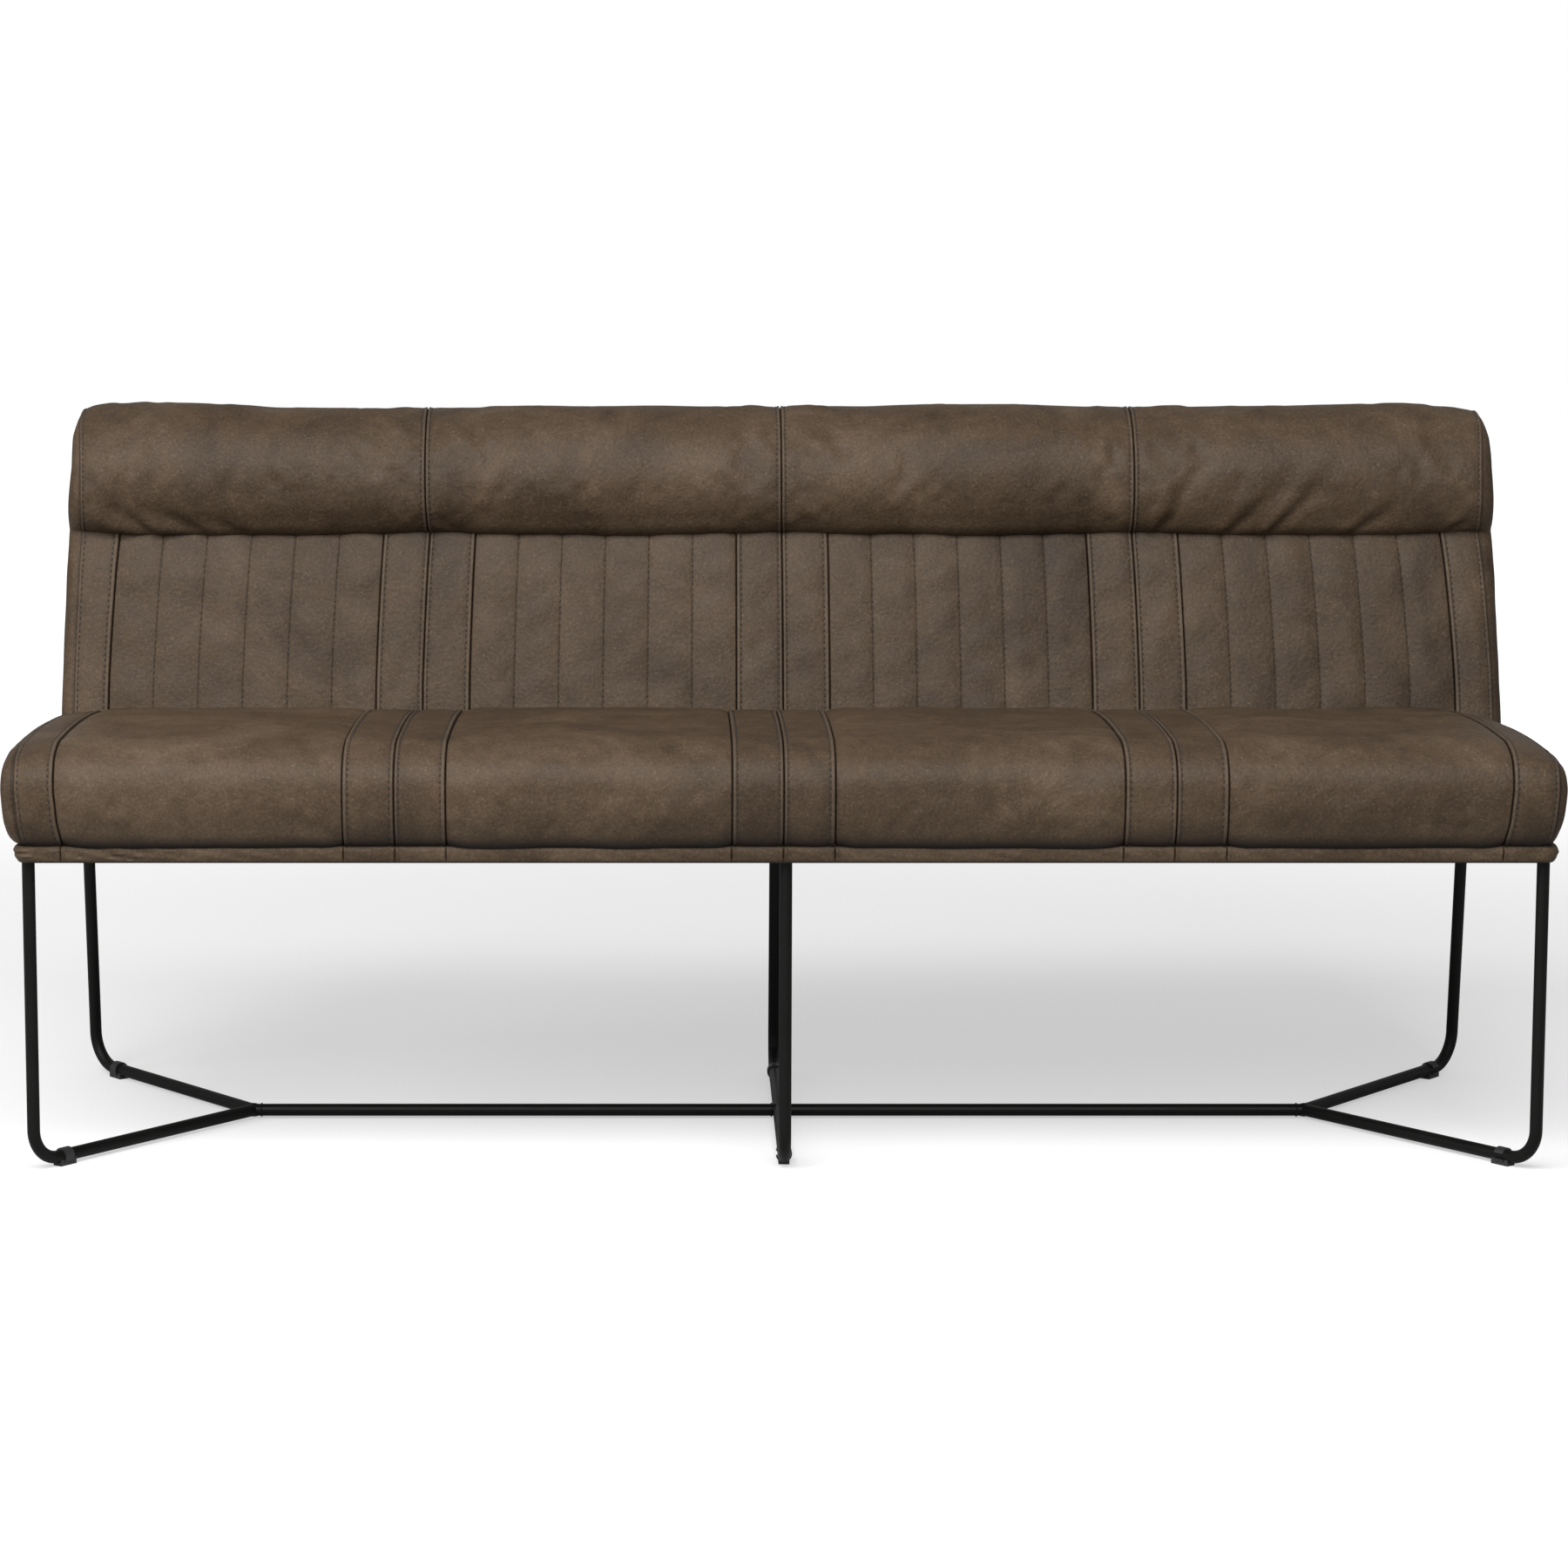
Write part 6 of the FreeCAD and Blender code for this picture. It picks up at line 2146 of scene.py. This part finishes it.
@dataclass
class Inside:
    """Foam, straps, felt and the dust cloth, which the leather hides."""

    voxel: float = 7.0
    pressed: float = 3.0
    end_round: float = 45.0
    end_drop: float = 12.0
    end_inset: float = 8.0
    selvedge: float = 0.4

    def softened(self, node: str, name: str, crowned: float = 0.0) -> Piece:
        """A copy of a foam block with cut edges eased, as foam has them.

        Args:
            node: the CAD node.
            name: the piece's name.
            crowned: how much its top swells up between its edges.

        Returns:
            The piece.
        """
        piece = cad_copy(node, name, flatten=False)
        cells = piece.modifiers.new("cells", "REMESH")
        cells.mode = "VOXEL"
        cells.voxel_size = self.voxel * MM
        ease = piece.modifiers.new("ease", "SMOOTH")
        ease.iterations = 3
        press = piece.modifiers.new("press", "DISPLACE")
        press.mid_level = 0.0
        press.strength = -self.pressed * MM
        plain = apply_modifiers(piece)
        plain.shade_smooth()
        count = len(plain.vertices)
        places = np.empty(3 * count)
        plain.vertices.foreach_get("co", places)
        places = places.reshape(-1, 3) / MM
        low, high = places.min(axis=0), places.max(axis=0)
        middle, half = (low + high) / 2, (high - low) / 2
        inside = 1 - np.clip(np.abs(places - middle) / half, 0, 1) ** 6
        height = np.clip((places[:, 2] - middle[2]) / half[2], 0, 1)
        places[:, 2] += crowned * height * inside[:, 0] * inside[:, 1]
        self.trim_ends(places)
        plain.vertices.foreach_set("co", (places * MM).ravel())
        plain.update()
        return piece

    def trim_ends(self, places: np.ndarray) -> None:
        """Round the foam off towards the two ends of the bench, as the cover pulls it in.

        Args:
            places: the foam's points in millimetres, moved in place.
        """
        middle = (places.max(axis=0) + places.min(axis=0)) / 2
        reach = np.abs(places[:, 0]).max()
        share = np.clip((np.abs(places[:, 0]) - (reach - self.end_round)) / self.end_round, 0, 1) ** 2
        half = (places.max(axis=0) - places.min(axis=0))[2] / 2
        places[:, 2] -= np.sign(places[:, 2] - middle[2]) * share * self.end_drop * np.clip(
            np.abs(places[:, 2] - middle[2]) / half, 0, 1)
        places[:, 0] *= 1 - self.end_inset / reach

    def straps(self, node: str, name: str) -> Piece:
        """Woven straps: each CAD strap with its selvedge rounded.

        Args:
            node: the CAD node.
            name: the piece's name.

        Returns:
            The piece.
        """
        piece = cad_copy(node, name, flatten=True)
        edge = piece.modifiers.new("selvedge", "BEVEL")
        edge.width = self.selvedge * MM
        edge.segments = 2
        apply_modifiers(piece)
        return piece

    def cloth_sheet(self, node: str, name: str, sag: float, thick: float, wave: float) -> Piece:
        """A thin sheet over a CAD node's place, with a slight sag between its fixings.

        Args:
            node: the CAD node.
            name: the piece's name.
            sag: how far it hangs or lies uneven.
            thick: its thickness.
            wave: wavelength of its unevenness.

        Returns:
            The piece.
        """
        low, high = (np.array(corner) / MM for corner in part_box(node))
        across = np.linspace(low[0], high[0], 150)
        along = np.linspace(low[1], high[1], 60)
        edge_x = np.minimum(across - low[0], high[0] - across)[:, None]
        edge_y = np.minimum(along - low[1], high[1] - along)[None, :]
        inside = np.clip(np.minimum(edge_x, edge_y) / 60.0, 0, 1)
        uneven = 0.5 + 0.5 * np.clip(ripple(across[:, None], along[None, :], wave, 141), -1, 1)
        middle = (low[2] + high[2]) / 2
        z = middle + thick / 2 - sag * inside * uneven
        profile = Profile(np.column_stack([along, np.full(len(along), 0.0)]))
        placed = np.broadcast_to(across[:, None], z.shape)
        outer = spread(profile, placed, along - along[0], z)
        under = outer.copy()
        under[:, :, 2] -= thick * MM
        wide, long = z.shape
        grid = np.arange(wide * long).reshape(wide, long)
        below = grid + wide * long
        rim = np.concatenate([grid[:-1, 0], grid[-1, :-1], grid[:0:-1, -1], grid[0, :0:-1]])
        edge = walls(rim, rim + wide * long)[:, TURNED]
        points = np.vstack([outer.reshape(-1, 3), under.reshape(-1, 3)])
        return mesh_object(name, points, face_lists(quads(grid), quads(below)[:, TURNED], edge))


@dataclass
class Welds:
    """Rippled weld beads where bars meet each other and the plates."""

    bead_radius: float = 7.7
    junction: Triple = (648.0, 16.5, 11.0)
    stretcher_bead: float = 638.0
    hoop_bead: float = 9.4
    mitre_wide: float = 10.0
    top_z: float = 370.0
    leg_x: float = 878.0
    top_y: Pair = (-270.0, 249.2)

    def ring(self, centre: Triple, one: Triple, two: Triple) -> np.ndarray:
        """A closed line round a bar.

        Args:
            centre: its middle.
            one: its first half axis.
            two: its second half axis.

        Returns:
            (n, 3) points in metres.
        """
        turns = np.linspace(0, 2 * math.pi, 40)
        return (np.array(centre) + np.outer(np.cos(turns), one) + np.outer(np.sin(turns), two)) * MM

    def build(self, tree: Tree, coat: Material) -> Piece:
        """Lay every bead.

        Args:
            tree: the row tree.
            coat: the frame's coating.

        Returns:
            The piece.
        """
        across, up = (0.0, self.bead_radius, 0.0), (0.0, 0.0, self.bead_radius)
        rings = []
        for side in (-1, 1):
            x, y, z = self.junction
            rings.append(self.ring((side * self.stretcher_bead, y, z), across, up))
            rings.append(self.ring((side * self.hoop_bead, y, z), across, up))
            rings.append(self.ring((side * x, y, z), (self.mitre_wide, 0.0, 0.0), up))
        for x in (-self.leg_x, 0.0, self.leg_x):
            for y in self.top_y:
                rings.append(self.ring((x, y, self.top_z), (self.bead_radius, 0.0, 0.0), across))
        return set_along("weld_beads", tree, rings, WELD_RIPPLE, coat)


@dataclass
class Underside:
    """Fixings under the seat."""

    staple_inset: float = 9.0
    plate_side: float = 60.0
    screw_inset: float = 11.0
    screw_drop: float = 0.6

    def staples(self, tree: Tree, wire: Material) -> Piece:
        """Staples round the edge of the dust cloth.

        Args:
            tree: the row tree.
            wire: their material.

        Returns:
            The piece.
        """
        low, high = (np.array(corner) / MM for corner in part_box("dust_cover"))
        left, right = low[0] + self.staple_inset, high[0] - self.staple_inset
        front, rear = low[1] + self.staple_inset, high[1] - self.staple_inset
        z = low[2] - 0.2
        corners = np.array([(left, front, z), (right, front, z), (right, rear, z), (left, rear, z),
                            (left, front, z)])
        return set_along("cloth_staples", tree, [corners * MM], STAPLE, wire)

    def screws(self, metal: Material) -> Piece:
        """Four screws in each leg plate, heads down.

        Args:
            metal: their material.

        Returns:
            The piece.
        """
        low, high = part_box("leg_plates")
        inset, side = self.screw_inset * MM, self.plate_side * MM
        spots = []
        for outer in (low.x, high.x - side):
            for front in (low.y, high.y - side):
                for step_x in (inset, side - inset):
                    for step_y in (inset, side - inset):
                        spots.append((outer + step_x, front + step_y, low.z - self.screw_drop * MM))
        inputs = {"Head Width": 8.0 * MM, "Head Height": 2.2 * MM, "Recess": 4.4 * MM, "Metal": metal}
        return repeat("plate_screws", fixing_tree(), np.array(spots), [], inputs)


# Studio


@dataclass
class Studio:
    """Floor, light and camera."""

    lens: float = 102.0
    sensor: float = 36.0
    pitch: float = 82.0
    shift_x: float = 0.0713
    shift_y: float = -0.0080
    eye: Triple = (-0.1317, -5.3537, 1.1872)
    wall_light: float = 0.35

    def build(self) -> None:
        """Set up the studio."""
        bpy.context.scene.view_settings.view_transform = "Standard"
        self.floor()
        self.lights()
        self.camera()

    def floor(self) -> None:
        """A wide sheet of paper on the floor."""
        reach = 14.0
        corners = np.array([(-reach, -reach, 0), (reach, -reach, 0), (reach, reach, 0), (-reach, reach, 0)])
        paper = mesh_object("studio_floor", corners, [[0, 1, 2, 3]], smooth=False)
        paper.data.materials.append(StudioPaper().material())

    def lights(self) -> None:
        """White room light, with a large soft box high in front."""
        world = bpy.data.worlds.new("studio_room")
        bpy.context.scene.world = world
        world.use_nodes = True
        tree = world.node_tree
        tree.nodes.clear()
        # The wall is seen as white paper and gives less light than the soft boxes, as in a real studio.
        ray = add_node(tree, "ShaderNodeLightPath", {}, {})
        glow = add_node(tree, "ShaderNodeMapRange", {"To Min": self.wall_light, "To Max": 1.0},
                        {"Value": ray.outputs["Is Camera Ray"]})
        wall = add_node(tree, "ShaderNodeBackground", {"Color": (1.0, 1.0, 1.0, 1.0)},
                        {"Strength": glow.outputs[0]})
        add_node(tree, "ShaderNodeOutputWorld", {}, {"Surface": wall.outputs["Background"]})
        self.soft_box("front_box", (-0.6, -3.5, 3.1), (0.0, -0.1, 0.55), (4.2, 2.4), 198.0)
        self.soft_box("top_box", (-0.4, -2.0, 3.5), (0.0, -0.1, 0.6), (3.6, 0.8), 92.0)
        self.soft_box("left_box", (-3.6, -1.6, 1.9), (0.0, 0.0, 0.5), (1.4, 1.6), 44.0)

    def soft_box(self, name: str, place: Triple, aim: Triple, size: Pair, power: float) -> None:
        """Hang a soft box.

        Args:
            name: its name.
            place: where it hangs, in metres.
            aim: what it points at.
            size: its width and height.
            power: watts.
        """
        lamp = bpy.data.lights.new(name, "AREA")
        lamp.shape = "RECTANGLE"
        lamp.size, lamp.size_y = size
        lamp.energy = power
        made = bpy.data.objects.new(name, lamp)
        made.location = place
        made.rotation_euler = (Vector(aim) - Vector(place)).to_track_quat("-Z", "Y").to_euler()
        bpy.context.scene.collection.objects.link(made)

    def camera(self) -> None:
        """The photograph's view: a long lens, a little above the seat."""
        lens = bpy.data.cameras.new("camera")
        lens.lens = self.lens
        lens.sensor_width = self.sensor
        lens.shift_x, lens.shift_y = self.shift_x, self.shift_y
        made = bpy.data.objects.new("camera", lens)
        made.location = self.eye
        made.rotation_euler = (math.radians(self.pitch), 0.0, 0.0)
        bpy.context.scene.collection.objects.link(made)
        bpy.context.scene.camera = made


# Putting it together


def finish_piece(piece: Piece, material: Material, nodes: tuple[str, ...] = ()) -> None:
    """Give a piece its material and tie it to the frame.

    Args:
        piece: the finished piece.
        material: its material.
        nodes: the CAD nodes that it replaces.
    """
    if not piece.data.materials:
        piece.data.materials.append(material)
    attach(piece, "root")
    if nodes:
        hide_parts(*nodes)
    LOG.info("%s: %d faces", piece.name, len(piece.data.polygons))


def dress_node(node: str, material: Material) -> None:
    """Give a carried-over CAD node a better material on its slots."""
    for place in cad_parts[node].material_slots:
        place.material = material


def dress_frame(coat: Material) -> None:
    """Coat the bars, plates and glides, and finish the timber.

    Args:
        coat: the bars' coating.
    """
    nylon = GrainedHardware("moulded_nylon", "1B1B1B", "272726", 0.5, 0.0, 0.8).material()
    timber = PlanedTimber().material()
    coated = ("front_leg_left", "front_leg_right", "rear_leg_left", "rear_leg_right", "centre_hoop",
              "stretcher_left", "stretcher_right", "leg_plates")
    wooden = ("seat_front_rail", "seat_rear_rail", "seat_end_rail_left", "seat_end_rail_right",
              "seat_cross_rail_left", "seat_cross_rail_centre", "seat_cross_rail_right", "corner_blocks",
              "back_posts", "back_top_rail", "back_bottom_rail")
    for names, material in ((coated, coat), (("glides_front", "glides_rear"), nylon), (wooden, timber)):
        for node in names:
            dress_node(node, material)


def build_inside() -> None:
    """Make the hidden soft pieces."""
    inside = Inside()
    foam = OpenCellFoam().material()
    for node, name, crowned in (("seat_foam", "seat_foam_core", 10.0), ("back_foam", "back_foam_core", 0.0),
                                ("roll_foam", "roll_foam_core", 0.0)):
        piece = inside.softened(node, name, crowned)
        finish_piece(piece, foam, (node,))
    weave = HiddenCloth("elastic_webbing", "2A2A2A", "6A655C", 1.6, 0.8, 0.7).material()
    for node, name in (("seat_webbing", "seat_straps"), ("back_webbing", "back_straps")):
        finish_piece(inside.straps(node, name), weave, (node,))
    fuzz = HiddenCloth("needled_felt", "6F6A63", "9A948A", 3.0, 1.2, 0.1).material()
    felt = inside.cloth_sheet("seat_felt", "felt_layer", 0.3, 2.0, 90.0)
    finish_piece(felt, fuzz, ("seat_felt",))
    black = HiddenCloth("spunbond_lining", "141414", "262626", 1.2, 0.9, 0.4).material()
    lining = inside.cloth_sheet("dust_cover", "dust_cloth", 1.6, 0.5, 140.0)
    finish_piece(lining, black, ("dust_cover",))


def main() -> None:
    """Build every class in order and report each piece."""
    logging.basicConfig(level=logging.INFO, format="%(message)s")
    seat, back = Seat(), Back()
    hide = WaxedLeather().material()
    thread = TwistedThread().material()
    for piece, nodes in seat.build() + back.build():
        finish_piece(piece, hide, nodes)
    hem = HemWrap().build()
    finish_piece(hem, hide, ("hem_band",))
    tree = row_tree()
    for piece in Sewing(seat, back).build(tree, thread):
        finish_piece(piece, thread)
    zinc = GrainedHardware("zinc_plated_steel", "9A9DA0", "C4C6C8", 0.38, 1.0, 2.0).material()
    finish_piece(Underside().screws(zinc), zinc)
    finish_piece(Underside().staples(tree, zinc), zinc)
    coat = PowderCoat().material()
    finish_piece(Welds().build(tree, coat), coat)
    build_inside()
    dress_frame(coat)
    Studio().build()
    LOG.info("size written")


if __name__ == "__main__":
    main()
